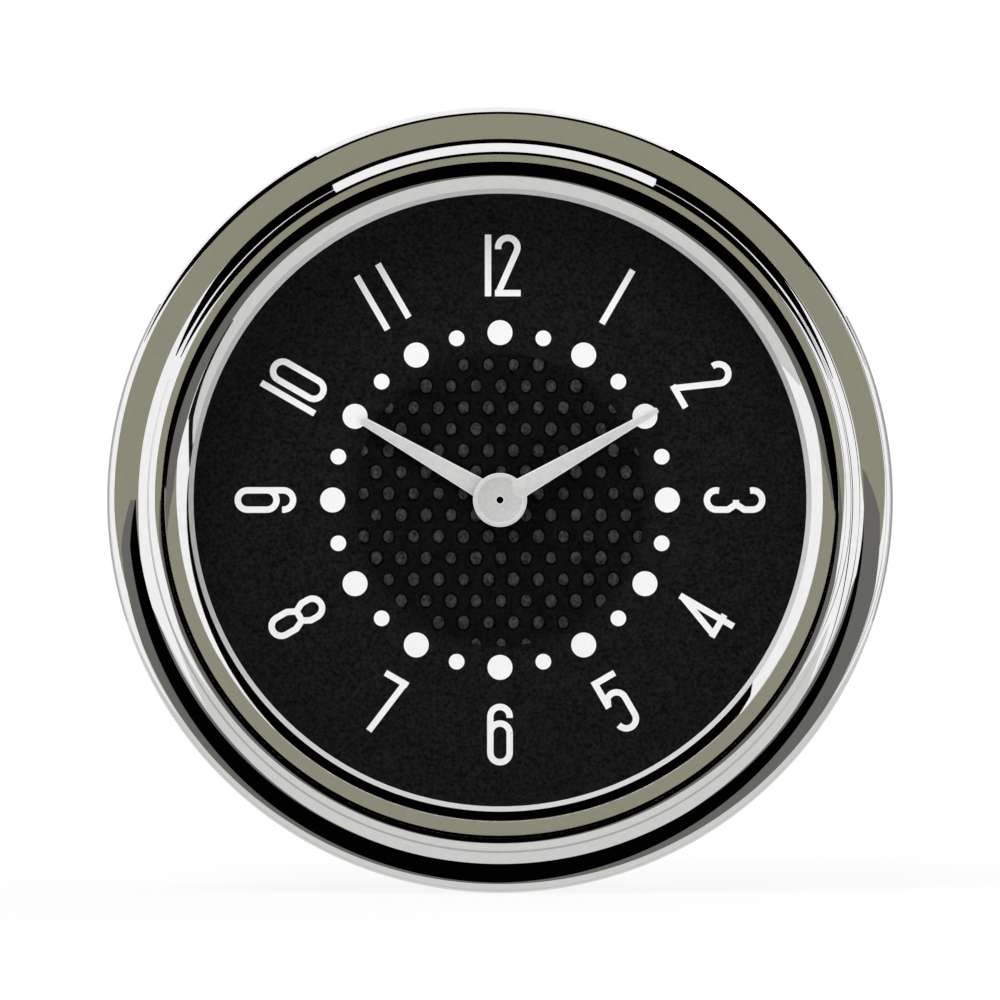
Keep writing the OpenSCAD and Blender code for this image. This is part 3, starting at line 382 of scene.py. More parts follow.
def skin(mesh: Mesh, rows: Sequence[list[Corner]], closed: bool = True) -> None:
    """Joins each row of corners to the next.

    Args:
        mesh: Mesh that gets the faces.
        rows: Rows with the same count of corners.
        closed: True where a row's last corner meets its first.
    """
    for row, after in zip(rows, rows[1:]):
        for i in range(len(row) if closed else len(row) - 1):
            k = (i + 1) % len(row)
            mesh.faces.new((row[i], row[k], after[k], after[i]))


def spin_loop(mesh: Mesh, loop: Outline, steps: int) -> None:
    """Adds a ring whose section is a closed outline.

    Args:
        mesh: Mesh that gets the ring.
        loop: Radius and height of each corner of the section.
        steps: Number of steps round.
    """
    turns = [2 * math.pi * i / steps for i in range(steps)]
    rings = [[mesh.verts.new((r * math.cos(a), r * math.sin(a), z)) for r, z in loop]
             for a in turns]
    skin(mesh, [*rings, rings[0]])


def add_slab(mesh: Mesh, outline: Outline, low: float, high: float) -> list[bmesh.types.BMFace]:
    """Adds an outline raised to a flat solid.

    Args:
        mesh: Mesh that gets the solid.
        outline: Corners in order.
        low: Height of its back.
        high: Height of its front.

    Returns:
        The solid's faces.
    """
    before = set(mesh.faces)
    back, front = ([mesh.verts.new((x, y, z)) for x, y in outline] for z in (low, high))
    mesh.faces.new(back)
    mesh.faces.new(front)
    skin(mesh, [back, front])
    return [face for face in mesh.faces if face not in before]


def link_object(name: str, data: bpy.types.ID) -> Piece:
    """Adds an object to the scene.

    Args:
        name: Name of the object.
        data: Its mesh, lamp or camera.

    Returns:
        The new object, at the origin.
    """
    made = bpy.data.objects.new(name, data)
    bpy.context.scene.collection.objects.link(made)
    return made


def mesh_object(name: str, mesh: Mesh) -> Piece:
    """Adds an object with a finished mesh.

    Args:
        name: Name of the object and of its mesh.
        mesh: Mesh in metres; it is freed.

    Returns:
        The new object, at the origin.
    """
    data = bpy.data.meshes.new(name)
    mesh.to_mesh(data)
    mesh.free()
    return link_object(name, data)


def shade(piece: Piece, crease: float) -> None:
    """Shades a piece smooth, except where it has an edge.

    Args:
        piece: The object.
        crease: Angle in degrees past which an edge stays sharp.
    """
    piece.data.shade_smooth()
    piece.data.set_sharp_from_angle(angle=math.radians(crease))


def finish_mesh(name: str, mesh: Mesh, crease: float) -> Piece:
    """Turns a mesh from the dial's frame to the part's frame and links it as an object.

    Args:
        name: Name of the piece.
        mesh: Mesh in millimetres; it is freed.
        crease: Angle in degrees past which an edge stays sharp.

    Returns:
        The new object, at the origin.
    """
    bmesh.ops.remove_doubles(mesh, verts=mesh.verts, dist=10 * TINY)
    bmesh.ops.recalc_face_normals(mesh, faces=mesh.faces)
    mesh.transform(DIAL_TO_PART)
    made = mesh_object(name, mesh)
    shade(made, crease)
    return made


def keep_result(made: Piece) -> None:
    """Gives an object the mesh that its modifiers make, and removes them.

    Args:
        made: The object.
    """
    graph = bpy.context.evaluated_depsgraph_get()
    data = bpy.data.meshes.new_from_object(made.evaluated_get(graph))
    made.modifiers.clear()
    made.data = data


def place(piece: Piece, body: str, slot: str, finishes: Sequence[Surface], *nodes: str) -> None:
    """Dresses a piece, makes it ride on a body and hides the CAD nodes that it replaces.

    Args:
        piece: The finished object.
        body: CAD body that it moves with.
        slot: Material slot of the record; not used.
        finishes: Finishes in the order of the piece's material slots.
        nodes: CAD nodes that it replaces.
    """
    if not piece.data.materials:
        for finish in finishes:
            piece.data.materials.append(finish.material())
    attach(piece, body)
    if nodes:
        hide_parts(*nodes)
    LOG.info("%s on %s: %d faces, %s", piece.name, body, len(piece.data.polygons), finishes[0].name)


def new_tree(name: str, inputs: dict[str, str]) -> tuple[Tree, Adder, Any]:
    """Makes a geometry tree with named inputs and one geometry output.

    Args:
        name: Name of the tree.
        inputs: Socket type of each named input.

    Returns:
        The tree, add_node for it, and the sockets that give its inputs.
    """
    tree = bpy.data.node_groups.new(name, "GeometryNodeTree")
    for key, kind in inputs.items():
        tree.interface.new_socket(name=key, in_out="INPUT", socket_type=kind)
    tree.interface.new_socket(name="Geometry", in_out="OUTPUT", socket_type="NodeSocketGeometry")
    add = partial(add_node, tree)
    return tree, add, add("NodeGroupInput").outputs


def end_tree(add: Adder, shape: Node, material: Socket) -> None:
    """Turns a tree's shape to the part's frame and ends it in plain mesh with its material.

    Args:
        add: add_node for the tree.
        shape: Node that gives the geometry in the dial's frame, in millimetres.
        material: The tree's material input.
    """
    turned = add("GeometryNodeTransform", {
        0: shape, "Rotation": (math.pi / 2, 0.0, 0.0), "Scale": (MM, MM, MM)})
    smooth = add("GeometryNodeSetShadeSmooth", {0: turned})
    real = add("GeometryNodeRealizeInstances", {0: smooth})
    dressed = add("GeometryNodeSetMaterial", {0: real, "Material": material})
    add("NodeGroupOutput", {0: dressed})


def run_tree(name: str, tree: Tree, values: dict[str, Any]) -> Piece:
    """Evaluates a geometry tree once and keeps the result as a plain mesh.

    Args:
        name: Name of the piece.
        tree: Geometry node tree.
        values: A value for each of the tree's named inputs.

    Returns:
        The new object, without a modifier.
    """
    made = link_object(name, bpy.data.meshes.new(name))
    modifier = made.modifiers.new(name, "NODES")
    modifier.node_group = tree
    for item in tree.interface.items_tree:
        if item.in_out == "INPUT" and item.name in values:
            modifier[item.identifier] = values[item.name]
    keep_result(made)
    return made


def lattice_tree() -> Tree:
    """Builds the tree that sets nubs on a hexagonal lattice inside a round field.

    Returns:
        The geometry node tree.
    """
    tree, add, given = new_tree("nub lattice", {
        "Columns": COUNT, "Rows": COUNT, "Width": FLOAT, "Height": FLOAT, "Row Pitch": FLOAT,
        "Half Step": VECTOR, "Shift": VECTOR, "Hole Radius": FLOAT, "Field Radius": FLOAT,
        "Outer Radius": FLOAT, "Edge Share": FLOAT, "Nub Size": VECTOR, "Least": FLOAT,
        "Most": FLOAT, "Seed": COUNT, "Material": MATERIAL})
    grid = add("GeometryNodeMeshGrid", {
        "Size X": given["Width"], "Size Y": given["Height"], "Vertices X": given["Columns"],
        "Vertices Y": given["Rows"]})
    where = add("GeometryNodeInputPosition")
    parts = add("ShaderNodeSeparateXYZ", {0: where})
    height = add("ShaderNodeMath", {0: parts.outputs[1], 1: given["Row Pitch"]}, operation="DIVIDE")
    row = add("ShaderNodeMath", {0: height}, operation="ROUND")
    odd = add("ShaderNodeMath", {0: row, 1: 2.0}, operation="FLOORED_MODULO")
    aside = add("ShaderNodeVectorMath", {0: given["Half Step"], "Scale": odd}, operation="SCALE")
    moved = add("ShaderNodeVectorMath", {0: aside, 1: given["Shift"]}, operation="ADD")
    points = add("GeometryNodeSetPosition", {0: grid, "Offset": moved})
    flat = add("ShaderNodeVectorMath", {0: where, 1: (1.0, 1.0, 0.0)}, operation="MULTIPLY")
    reach = add("ShaderNodeVectorMath", {0: flat}, operation="LENGTH")
    beyond, under, edge = (
        add("ShaderNodeMath", {0: reach.outputs["Value"], 1: given[bound]}, operation=test)
        for bound, test in (("Outer Radius", "GREATER_THAN"), ("Hole Radius", "LESS_THAN"),
                            ("Field Radius", "GREATER_THAN")))
    outside = add("ShaderNodeMath", {0: beyond, 1: under}, operation="MAXIMUM")
    kept = add("GeometryNodeDeleteGeometry", {0: points, 1: outside}, domain="POINT")
    ball = add("GeometryNodeMeshUVSphere", {"Segments": 14, "Rings": 7, "Radius": 1.0})
    swell = add("FunctionNodeRandomValue", {
        2: given["Least"], 3: given["Most"], "Seed": given["Seed"]}, data_type="FLOAT")
    share = add("ShaderNodeMapRange", {"Value": edge, "To Min": 1.0, "To Max": given["Edge Share"]})
    scale = add("ShaderNodeMath", {0: swell.outputs[1], 1: share}, operation="MULTIPLY")
    size = add("ShaderNodeVectorMath", {0: given["Nub Size"], "Scale": scale}, operation="SCALE")
    nubs = add("GeometryNodeInstanceOnPoints", {0: kept, "Instance": ball, "Scale": size})
    end_tree(add, nubs, given["Material"])
    return tree


def helix_tree() -> Tree:
    """Builds the tree that winds a round ridge about a rod, once at each of a row of places.

    Returns:
        The geometry node tree.
    """
    tree, add, given = new_tree("wound rod", {
        "Rod Radius": FLOAT, "Rod Length": FLOAT, "Middle": VECTOR, "Ridge Radius": FLOAT,
        "Turns": FLOAT, "Wound Length": FLOAT, "Start": VECTOR, "Step": VECTOR, "Places": COUNT,
        "Tilt": VECTOR, "Material": MATERIAL})
    spiral = add("GeometryNodeCurveSpiral", {
        "Resolution": 28, "Rotations": given["Turns"], "Start Radius": given["Rod Radius"],
        "End Radius": given["Rod Radius"], "Height": given["Wound Length"]})
    section = add("GeometryNodeCurvePrimitiveCircle", {
        "Resolution": 6, "Radius": given["Ridge Radius"]})
    ridge = add("GeometryNodeCurveToMesh", {0: spiral, 1: section, "Fill Caps": True})
    rod = add("GeometryNodeMeshCylinder", {
        "Vertices": 32, "Radius": given["Rod Radius"], "Depth": given["Rod Length"]})
    stood = add("GeometryNodeTransform", {0: rod, "Translation": given["Middle"]})
    both = add("GeometryNodeJoinGeometry", {0: ridge})
    tree.links.new(stood.outputs[0], both.inputs[0])
    places = add("GeometryNodeMeshLine", {
        "Count": given["Places"], "Start Location": given["Start"], "Offset": given["Step"]})
    rods = add("GeometryNodeInstanceOnPoints", {
        0: places, "Instance": both, "Rotation": given["Tilt"]})
    end_tree(add, rods, given["Material"])
    return tree


# For copies with broken edges, in degrees: faces as level as the first are joined, edges sharper
# than the second are broken, and what is sharper than the third keeps its crease.
LEVEL, SHARP, CREASE = 0.6, 50.0, 30.0


def softened(node: str, width: float) -> Piece:
    """Copies a CAD node with its sharp edges broken.

    Args:
        node: Name of the node.
        width: Width of the broken edge in millimetres.

    Returns:
        The new object.
    """
    mesh = bmesh.new()
    mesh.from_mesh(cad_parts[node].data)
    bmesh.ops.remove_doubles(mesh, verts=mesh.verts, dist=2 * TINY)
    bmesh.ops.dissolve_limit(mesh, angle_limit=math.radians(LEVEL), verts=mesh.verts,
                             edges=mesh.edges)
    made = mesh_object(node + "_edged", mesh)
    bevel = made.modifiers.new("edge", "BEVEL")
    bevel.width = width * MM
    bevel.segments = 2
    bevel.limit_method = "ANGLE"
    bevel.angle_limit = math.radians(SHARP)
    keep_result(made)
    shade(made, CREASE)
    return made


@dataclass
class Bezel:
    """The stepped chrome bezel: an oval outer roll, a curved riser, a round crest, a sloped lip."""

    outer_r: float = 30.15
    skirt_w: float = 0.5
    skirt_steps: int = 16
    roll: Pair = (2.8, 1.84)
    roll_steps: int = 56
    cove_r: float = 3.68
    riser_r: float = 2.48
    riser_turn: Pair = (31.0, 53.4)
    riser_steps: int = 20
    crest_r: float = 25.83
    shoulder_r: float = 0.72
    shoulder_steps: int = 16
    inner_roll_r: float = 1.72
    inner_roll_steps: int = 24
    lip_slope: float = 43.7
    lip_slope_w: float = 0.8
    lip_crown: float = 0.0055
    lip_steps: int = 10
    lip_z: float = 4.4
    sight_edge_t: float = 0.2
    pocket: Pair = (26.35, 2.0)
    flange_pocket: Pair = (29.2, 0.7)
    crimp_r: float = 26.7
    steps: int = 360
    crease: float = 25.0

    def section(self) -> Outline:
        """Works out the bezel's section, the same as the CAD solid's but with finer arcs.

        Returns:
            Radius and height of each corner.
        """
        low, high = self.riser_turn
        steep, end, lean = (math.radians(a) for a in (low, high, self.lip_slope))
        sight_r = self.crest_r - self.inner_roll_r * math.sin(lean) - self.lip_slope_w
        sight_z = self.lip_z + self.sight_edge_t
        lip_top = sight_z + self.lip_slope_w * math.tan(lean)
        inner = (self.crest_r, lip_top - self.inner_roll_r * math.cos(lean))
        shoulder = (self.crest_r, inner[1] + self.inner_roll_r - self.shoulder_r)
        gap = self.shoulder_r - self.riser_r
        riser = (shoulder[0] + gap * math.cos(end), shoulder[1] + gap * math.sin(end))
        both = self.riser_r + self.cove_r
        cove = (riser[0] + both * math.cos(steep), riser[1] + both * math.sin(steep))
        corner = (cove[0] - self.cove_r * math.cos(end), cove[1] - self.cove_r * math.sin(end))
        wide, tall = self.roll
        roll_r = self.outer_r - wide
        turn = math.acos((corner[0] - roll_r) / wide)
        roll_z = corner[1] - tall * math.sin(turn)
        skirt = [(self.outer_r + self.skirt_w * (x - 1), roll_z * (1 + z))
                 for x, z in arc(0, 0, 1, -90, 0, self.skirt_steps)]
        over = [(roll_r + wide * x, roll_z + tall * z)
                for x, z in arc(0, 0, 1, 0, math.degrees(turn), self.roll_steps)]
        return [
            (self.crimp_r, 0.0), *skirt, *over[1:],
            *arc(*cove, self.cove_r, 180 + high, 180 + low, self.riser_steps)[1:],
            *arc(*riser, self.riser_r, low, high, self.riser_steps)[1:],
            *arc(*shoulder, self.shoulder_r, high, 90, self.shoulder_steps)[1:],
            *arc(*inner, self.inner_roll_r, 90, 90 + self.lip_slope, self.inner_roll_steps)[1:-1],
            *self.lip(inner, (sight_r, sight_z)),
            (sight_r, self.lip_z), (self.pocket[0], self.lip_z), self.pocket,
            (self.flange_pocket[0], self.pocket[1]), self.flange_pocket,
            (self.crimp_r, self.flange_pocket[1]),
        ]

    def lip(self, inner: Pair, sight: Pair) -> Outline:
        """Works out the lip's slope, which polishing has left very slightly crowned.

        Args:
            inner: Centre of the inner roll's section.
            sight: Front corner of the sight opening.

        Returns:
            Points from the roll to the sight opening, both ends included.
        """
        lean = math.radians(self.lip_slope)
        across, along = math.sin(lean), math.cos(lean)
        start = (inner[0] - self.inner_roll_r * across, inner[1] + self.inner_roll_r * along)
        shares = [i / self.lip_steps for i in range(self.lip_steps + 1)]
        crowns = [4 * self.lip_crown * t * (1 - t) for t in shares]
        return [(start[0] + (sight[0] - start[0]) * t - up * across,
                 start[1] + (sight[1] - start[1]) * t + up * along)
                for t, up in zip(shares, crowns)]

    def build(self) -> Piece:
        """Spins the section.

        Returns:
            The new object.
        """
        mesh = bmesh.new()
        spin_loop(mesh, self.section(), self.steps)
        return finish_mesh("bezel_chrome", mesh, self.crease)

    def dress(self) -> None:
        """Builds the bezel and dresses what it holds."""
        place(self.build(), "case", "chrome", [CHROME], "bezel")
        dress(PANE, "lens")
        dress(RUBBER, "lens_gasket", "case_gasket")
        dress(TRIM, "trim_ring")


@dataclass
class Dial:
    """The dial: black paint, white print and a centre field of embossed nubs, each on a dark disc
    that is painted shadow.

    Nubs whose middle lies past pattern_r, by edge_margin at most, shrink to edge_share.
    """

    floor: float = -0.72
    pattern_r: float = 11.04
    edge_margin: float = 0.29
    edge_share: float = 0.85
    hole_r: float = 2.1
    columns: int = 16
    rows: int = 17
    pitch: float = 1.922
    row_pitch: float = 1.653
    shift: Pair = (0.08, 0.5)
    nub: Triple = (0.42, 0.5, 0.105)
    # Half width, half height and proudness of the dark disc under each nub, a painted shadow.
    ring: Triple = (0.58, 0.66, 0.012)
    uneven: float = 0.09
    seed: int = 7

    def pattern(self, name: str, tree: Tree, size: Triple, finish: Finish) -> Piece:
        """Sets one shape at each place of the lattice.

        Args:
            name: Name of the piece.
            tree: The lattice's tree.
            size: Half the shape's width and height on the dial, and how far it stands proud.
            finish: What it is dressed in.

        Returns:
            The new object.
        """
        return run_tree(name, tree, {
            "Columns": self.columns, "Rows": self.rows, "Width": (self.columns - 1) * self.pitch,
            "Height": (self.rows - 1) * self.row_pitch, "Row Pitch": self.row_pitch,
            "Half Step": (self.pitch / 2, 0.0, 0.0), "Shift": (*self.shift, self.floor),
            "Hole Radius": self.hole_r, "Field Radius": self.pattern_r,
            "Outer Radius": self.pattern_r + self.edge_margin, "Edge Share": self.edge_share,
            "Nub Size": size, "Least": 1 - self.uneven, "Most": 1 + self.uneven,
            "Seed": self.seed, "Material": finish.material()})

    def dress(self) -> None:
        """Builds the nubs and the dark discs under them, which are painted shadow, and dresses the
        dial.
        """
        tree = lattice_tree()
        place(self.pattern("dial_nubs", tree, self.nub, NUB), "case", "dial_black", [NUB])
        place(self.pattern("dial_nub_shadows", tree, self.ring, NUB_SHADOW), "case", "dial_black", [NUB_SHADOW])
        dress(DIAL, "dial_plate")
        dress(INK, "dial_numerals", "dial_dots")
        dress(BRASS, "dial_feet")


class HandFace(Enum):
    """Which of a hand's finishes a face takes, by its place in the list of materials."""

    BLADE = 0
    BORE = 1
    EDGE = 2
    DISH = 3


HAND_FINISHES = {HandFace.BLADE: HAND, HandFace.BORE: BORE_SHADE, HandFace.EDGE: EDGE_HIGHLIGHT,
                 HandFace.DISH: DISH}


@dataclass
class Hand:
    """One stamped hand, with its blade pointing to an angle clockwise from 12.

    A face counts as a broken edge where its normal's share along the axis lies within edge_lean;
    such faces take a painted highlight.
    """

    name: str
    node: str
    body: str
    angle: float
    length: float
    back: float
    hub_r: float
    bore_r: float
    tip_w: float
    root_w: float = 1.7
    thickness: float = 0.25
    corner_share: float = 0.3
    corner_turn: Pair = (18.0, 90.0)
    edge: float = 0.1
    edge_steps: int = 4
    edge_lean: Pair = (0.1, 0.945)
    hub_steps: int = 96
    crease: float = 28.0

    def half_width(self, out: float) -> float:
        """Returns half the blade's width at a distance from the axis."""
        foot = self.length - self.tip_w * self.corner_share
        return (self.root_w + (self.tip_w - self.root_w) * out / foot) / 2

    def roots(self) -> Outline:
        """Returns how far out each station of the blade's root is, and its front height."""
        return [(self.bore_r + self.edge, self.back + self.thickness)]

    def stations(self) -> list[Triple]:
        """Works out where the blade changes its width or height.

        Returns:
            How far out each station is, half the width there and the front height.
        """
        corner = self.tip_w * self.corner_share
        foot = self.length - corner
        top = self.back + self.thickness
        made = [(out, self.half_width(out), z) for out, z in [*self.roots(), (foot, top)]]
        return made + [(foot + y, self.tip_w / 2 - corner + x, top)
                       for x, y in arc(0, 0, corner, *self.corner_turn, self.edge_steps)]

    def add_blade(self, mesh: Mesh) -> None:
        """Adds the blade, with its front edges broken.

        Args:
            mesh: Mesh that gets the blade.
        """
        rows = [[mesh.verts.new((side * wide, out, z))
                 for side, z in ((-1, self.back), (-1, front), (1, front), (1, self.back))]
                for out, wide, front in self.stations()]
        skin(mesh, rows)
        mesh.faces.new(rows[0])
        mesh.faces.new(rows[-1])
        fronts = {v for row in rows for v in row[1:3]}
        sides = [e for e in mesh.edges if set(e.verts) <= fronts and
                 (e.verts[0].co.x * e.verts[1].co.x > 0 or e.verts[0].co.y > self.length - TINY)]
        bmesh.ops.bevel(mesh, geom=sides, offset=self.edge, segments=2, affect="EDGES", profile=0.5)

    def hub(self) -> Outline:
        """Works out the section of the hub ring.

        Returns:
            Radius and height of each corner.
        """
        top = self.back + self.thickness
        r, z = self.hub_r - self.edge, top - self.edge
        return [(self.bore_r, self.back), (self.hub_r, self.back), (self.hub_r, z),
                *arc(r, z, self.edge, 0, 90, self.edge_steps)[1:], (self.bore_r, top)]

    def add_more(self, mesh: Mesh) -> None:
        """Adds and marks what only this hand has."""

    def build(self) -> Piece:
        """Builds the blade, with a broken front edge, and the hub.

        Returns:
            The new object.
        """
        mesh = bmesh.new()
        spin_loop(mesh, self.hub(), self.hub_steps)
        self.add_more(mesh)
        self.add_blade(mesh)
        mesh.normal_update()
        # Faces that lean like broken edges take the painted highlight.
        for face in mesh.faces:
            if self.edge_lean[0] < abs(face.normal.z) < self.edge_lean[1]:
                face.material_index = HandFace.EDGE.value
        turn = Matrix.Rotation(-math.radians(self.angle), 3, "Z")
        bmesh.ops.rotate(mesh, verts=mesh.verts, matrix=turn)
        return finish_mesh(self.name, mesh, self.crease)

    def dress(self) -> None:
        """Builds and dresses the hand."""
        finishes = [HAND_FINISHES[face] for face in HandFace]
        place(self.build(), self.body, "hand_grey", finishes, self.node)


@dataclass
class MinuteHand(Hand):
    """The minute hand, whose hub covers both: a raised rim round a coned dish with a small bore."""

    rim_t: float = 0.3
    rim_edge: float = 0.1
    rim_steps: int = 3
    dish_r: float = 1.7
    floor_r: float = 0.5
    sink: float = 0.02
    collar: Pair = (0.38, 0.03)
    boss: Pair = (1.1, 0.45)
    nose: Pair = (0.64, 1.025)
    rise_from: float = 1.0
    fall_to: float = 4.2
    blade_proud: float = 0.006
    bore_sides: int = 24
    bore_lap: float = 0.05
    # Back and front of the bore's black disc, painted shade, as steps from the nose's top.
    bore_shade_disc: Pair = (-0.03, 0.01)

    def roots(self) -> Outline:
        """Works out the blade's root: out of the dish, level with the rim, then down to the blade.

        Returns:
            How far out each station of the root is, and its front height.
        """
        top = self.back + self.thickness
        floor = top - self.sink
        rim = top + self.rim_t + self.blade_proud
        share = (self.rise_from - self.floor_r) / (self.dish_r - self.floor_r)
        return [(self.rise_from, floor + share * (rim - self.rim_edge - floor)),
                (self.dish_r, rim), (self.hub_r, rim), (self.fall_to, top)]

    def hub(self) -> Outline:
        """Works out the section of the hub, from its boss to the rim and down the dish to the bore.

        Returns:
            Radius and height of each corner.
        """
        top = self.back + self.thickness
        rim = top + self.rim_t
        floor = top - self.sink
        edge, soft = self.rim_edge, self.rim_edge / 2
        collar_r, collar_t = self.collar
        return [(self.nose[0], self.boss[1]), self.boss, (self.boss[0], self.back),
                (self.hub_r, self.back),
                *arc(self.hub_r - edge, rim - edge, edge, 0, 90, self.edge_steps),
                *arc(self.dish_r + soft, rim - soft, soft, 90, 180, self.rim_steps),
                (self.floor_r, floor), (collar_r, floor + collar_t),
                (self.bore_r + collar_t, floor + collar_t), (self.bore_r, floor),
                (self.bore_r, self.nose[1]), self.nose]

    def add_more(self, mesh: Mesh) -> None:
        """Marks the dish, whose grey is painted shade, and adds a black disc in the bore as painted
        shade.

        Args:
            mesh: Mesh that holds the hub.
        """
        # The dish's faces take the greyer lacquer, which is painted shade.
        for face in mesh.faces:
            middle = face.calc_center_median()
            if self.collar[0] < middle.to_2d().length < self.dish_r and middle.z > self.back:
                face.material_index = HandFace.DISH.value
        last = 360 - 360 / self.bore_sides
        bore = arc(0, 0, self.bore_r + self.bore_lap, 0, last, self.bore_sides - 1)
        for face in add_slab(mesh, bore, *(self.nose[1] + step for step in self.bore_shade_disc)):
            face.material_index = HandFace.BORE.value


@dataclass
class KnurledHead:
    """A round grip with straight knurling and chamfered ends."""

    name: str
    node: str
    body: str
    slot: str
    finish: Finish
    at: Pair
    r: float
    depth: float
    flutes: int
    low: float
    high: float
    bore_r: float
    blind: float = 0.0
    chamfer: float = 0.45
    flute_corners: int = 4
    crease: float = 20.0

    def ring(self, mesh: Mesh, z: float, r: float, fluted: bool = False) -> list[Corner]:
        """Adds one ring of corners.

        Args:
            mesh: Mesh that gets the ring.
            z: Height of the ring.
            r: Radius of the ring, or of its crests.
            fluted: True where the corners go down into the flutes.

        Returns:
            The corners in order.
        """
        made = []
        count = self.flutes * self.flute_corners
        for i in range(count):
            turn = 2 * math.pi * (i + 0.5) / count
            crest = i % self.flute_corners in (0, self.flute_corners - 1)
            radius = r - self.depth if fluted and not crest else r
            made.append(mesh.verts.new((self.at[0] + radius * math.cos(turn),
                                        self.at[1] + radius * math.sin(turn), z)))
        return made

    def build(self) -> Piece:
        """Builds the grip with a through bore, or one that is blind from the front.

        Returns:
            The new object.
        """
        mesh = bmesh.new()
        face_r = self.r - self.depth - self.chamfer
        back = self.ring(mesh, self.low, face_r)
        bore = self.ring(mesh, self.low + self.blind, self.bore_r)
        rings = [back, self.ring(mesh, self.low + self.chamfer, self.r, fluted=True),
                 self.ring(mesh, self.high - self.chamfer, self.r, fluted=True),
                 self.ring(mesh, self.high, face_r), self.ring(mesh, self.high, self.bore_r), bore]
        if self.blind:
            mesh.faces.new(back)
            mesh.faces.new(bore)
        else:
            rings.append(back)
        skin(mesh, rings)
        return finish_mesh(self.name, mesh, self.crease)

    def dress(self) -> None:
        """Builds and dresses the grip."""
        place(self.build(), self.body, self.slot, [self.finish], self.node)


# How far the two studs stand to the left and right of the axis.
STUD_X = 19.0


@dataclass
class Case:
    """The drawn can, its screws, studs, terminals and lamps."""

    stud_r: float = 2.0
    stud_end: float = -50.0
    stud_root: float = -29.2
    stud_plain: float = 1.9
    pitch: float = 0.7
    ridge_share: float = 0.34

    def studs(self) -> Piece:
        """Winds the thread of the two studs.

        Returns:
            The new object.
        """
        ridge = self.pitch * self.ridge_share
        length = self.stud_root - self.stud_end
        wound = length - self.stud_plain
        return run_tree("studs_threaded", helix_tree(), {
            "Rod Radius": self.stud_r - ridge, "Rod Length": length,
            "Middle": (0.0, 0.0, length / 2), "Ridge Radius": ridge, "Turns": wound / self.pitch,
            "Wound Length": wound, "Start": (-STUD_X, 0.0, self.stud_end + ridge),
            "Step": (2 * STUD_X, 0.0, 0.0), "Places": 2, "Tilt": (0.0, 0.0, 0.0),
            "Material": BRASS.material()})

    def dress(self) -> None:
        """Builds the rear fittings and dresses the case."""
        place(self.studs(), "case", "brass", [BRASS], "mounting_studs")
        dress(CAN, "case_shell")
        for node, slot, finish, edge in (
                ("case_screws", "zinc_steel", ZINC, 0.18), ("stud_nuts", "zinc_steel", ZINC, 0.2),
                ("power_terminals", "terminal_brass", TINNED, 0.12),
                ("terminal_insulators", "nylon_white", NYLON, 0.2),
                ("lamp_holders", "black_plastic", NYLON_BLACK, 0.15)):
            place(softened(node, edge), "case", slot, [finish], node)
        dress(BULB, "lamp_bulbs")
        dress(BRASS, "set_bush")


@dataclass
class PanelClamp:
    """The U-shaped clamp with its washers and the two thumb nuts, which just clear the washers."""

    nut_r: float = 5.0
    nut_depth: float = 0.35
    flutes: int = 24
    front: float = -40.2
    face_gap: float = 0.02
    back: float = -46.2
    bore_r: float = 2.05

    def dress(self) -> None:
        """Builds and dresses the clamp."""
        for node, finish, edge in (("clamp_bracket", STRIP, 0.2), ("clamp_washers", ZINC, 0.12)):
            place(softened(node, edge), "clamp", "zinc_steel", [finish], node)
        for side, x in (("left", -STUD_X), ("right", STUD_X)):
            KnurledHead(
                f"thumb_grip_{side}", f"thumb_nut_{side}", f"nut_{side}", "brass", BRASS, (x, 0.0),
                r=self.nut_r, depth=self.nut_depth, flutes=self.flutes, low=self.back,
                high=self.front - self.face_gap, bore_r=self.bore_r).dress()


@dataclass
class Movement:
    """The quartz movement in the can, with its motion work and setting knob."""

    knob_at: Pair = (0.0, -8.0)
    knob_r: float = 3.2
    knob_front: float = -31.3
    knob_h: float = 5.0
    knob_depth: float = 0.3
    knob_flutes: int = 20
    knob_blind: float = 1.5
    knob_chamfer: float = 0.3
    arbor_r: float = 0.84
    coil_at: Triple = (12.5, 3.4, -8.9)
    coil_r: float = 2.6
    coil_len: float = 6.8
    wire_r: float = 0.14

    def coil(self) -> Piece:
        """Winds the coil, with wire drawn thicker than the real 0.05 mm so that its turns show.

        Returns:
            The new object.
        """
        lay = self.coil_len - 2 * self.wire_r
        return run_tree("coil_turns", helix_tree(), {
            "Rod Radius": self.coil_r - self.wire_r, "Rod Length": self.coil_len,
            "Middle": (0.0, 0.0, self.coil_len / 2), "Ridge Radius": self.wire_r,
            "Turns": lay / (2 * self.wire_r), "Wound Length": lay, "Start": self.coil_at,
            "Step": (0.0, 0.0, 1.0), "Places": 1, "Tilt": (math.pi / 2, 0.0, 0.0),
            "Material": COPPER.material()})

    def dress(self) -> None:
        """Builds the coil and the knob and dresses the movement."""
        place(self.coil(), "case", "coil_copper", [COPPER], "coil_winding")
        KnurledHead(
            "set_grip", "set_knob", "setting_train", "black_plastic", NYLON_BLACK, self.knob_at,
            r=self.knob_r, depth=self.knob_depth, flutes=self.knob_flutes,
            low=self.knob_front - self.knob_h, high=self.knob_front, bore_r=self.arbor_r,
            blind=self.knob_blind, chamfer=self.knob_chamfer).dress()
        dress(PLATE, "front_plate", "back_plate")
        dress(BRASS, "hour_wheel", "cannon_pinion", "minute_wheel", "plate_pillars",
              "board_spacers", "rear_spacers", "centre_wheel", "third_wheel", "fourth_wheel",
              "fifth_wheel", "stator_posts")
        dress(STEEL, "set_arbor", "centre_arbor", "third_arbor", "fourth_arbor", "fifth_arbor",
              "rotor_arbor")
        dress(ZINC, "plate_screws")
        dress(BOARD, "circuit_board")
        dress(NYLON_BLACK, "control_chip")
        dress(ALUMINIUM, "quartz_crystal", "capacitor")
        dress(IRON, "stator", "coil_core")
        dress(MAGNET, "rotor_magnet")
        dress(NYLON, "coil_bobbin")


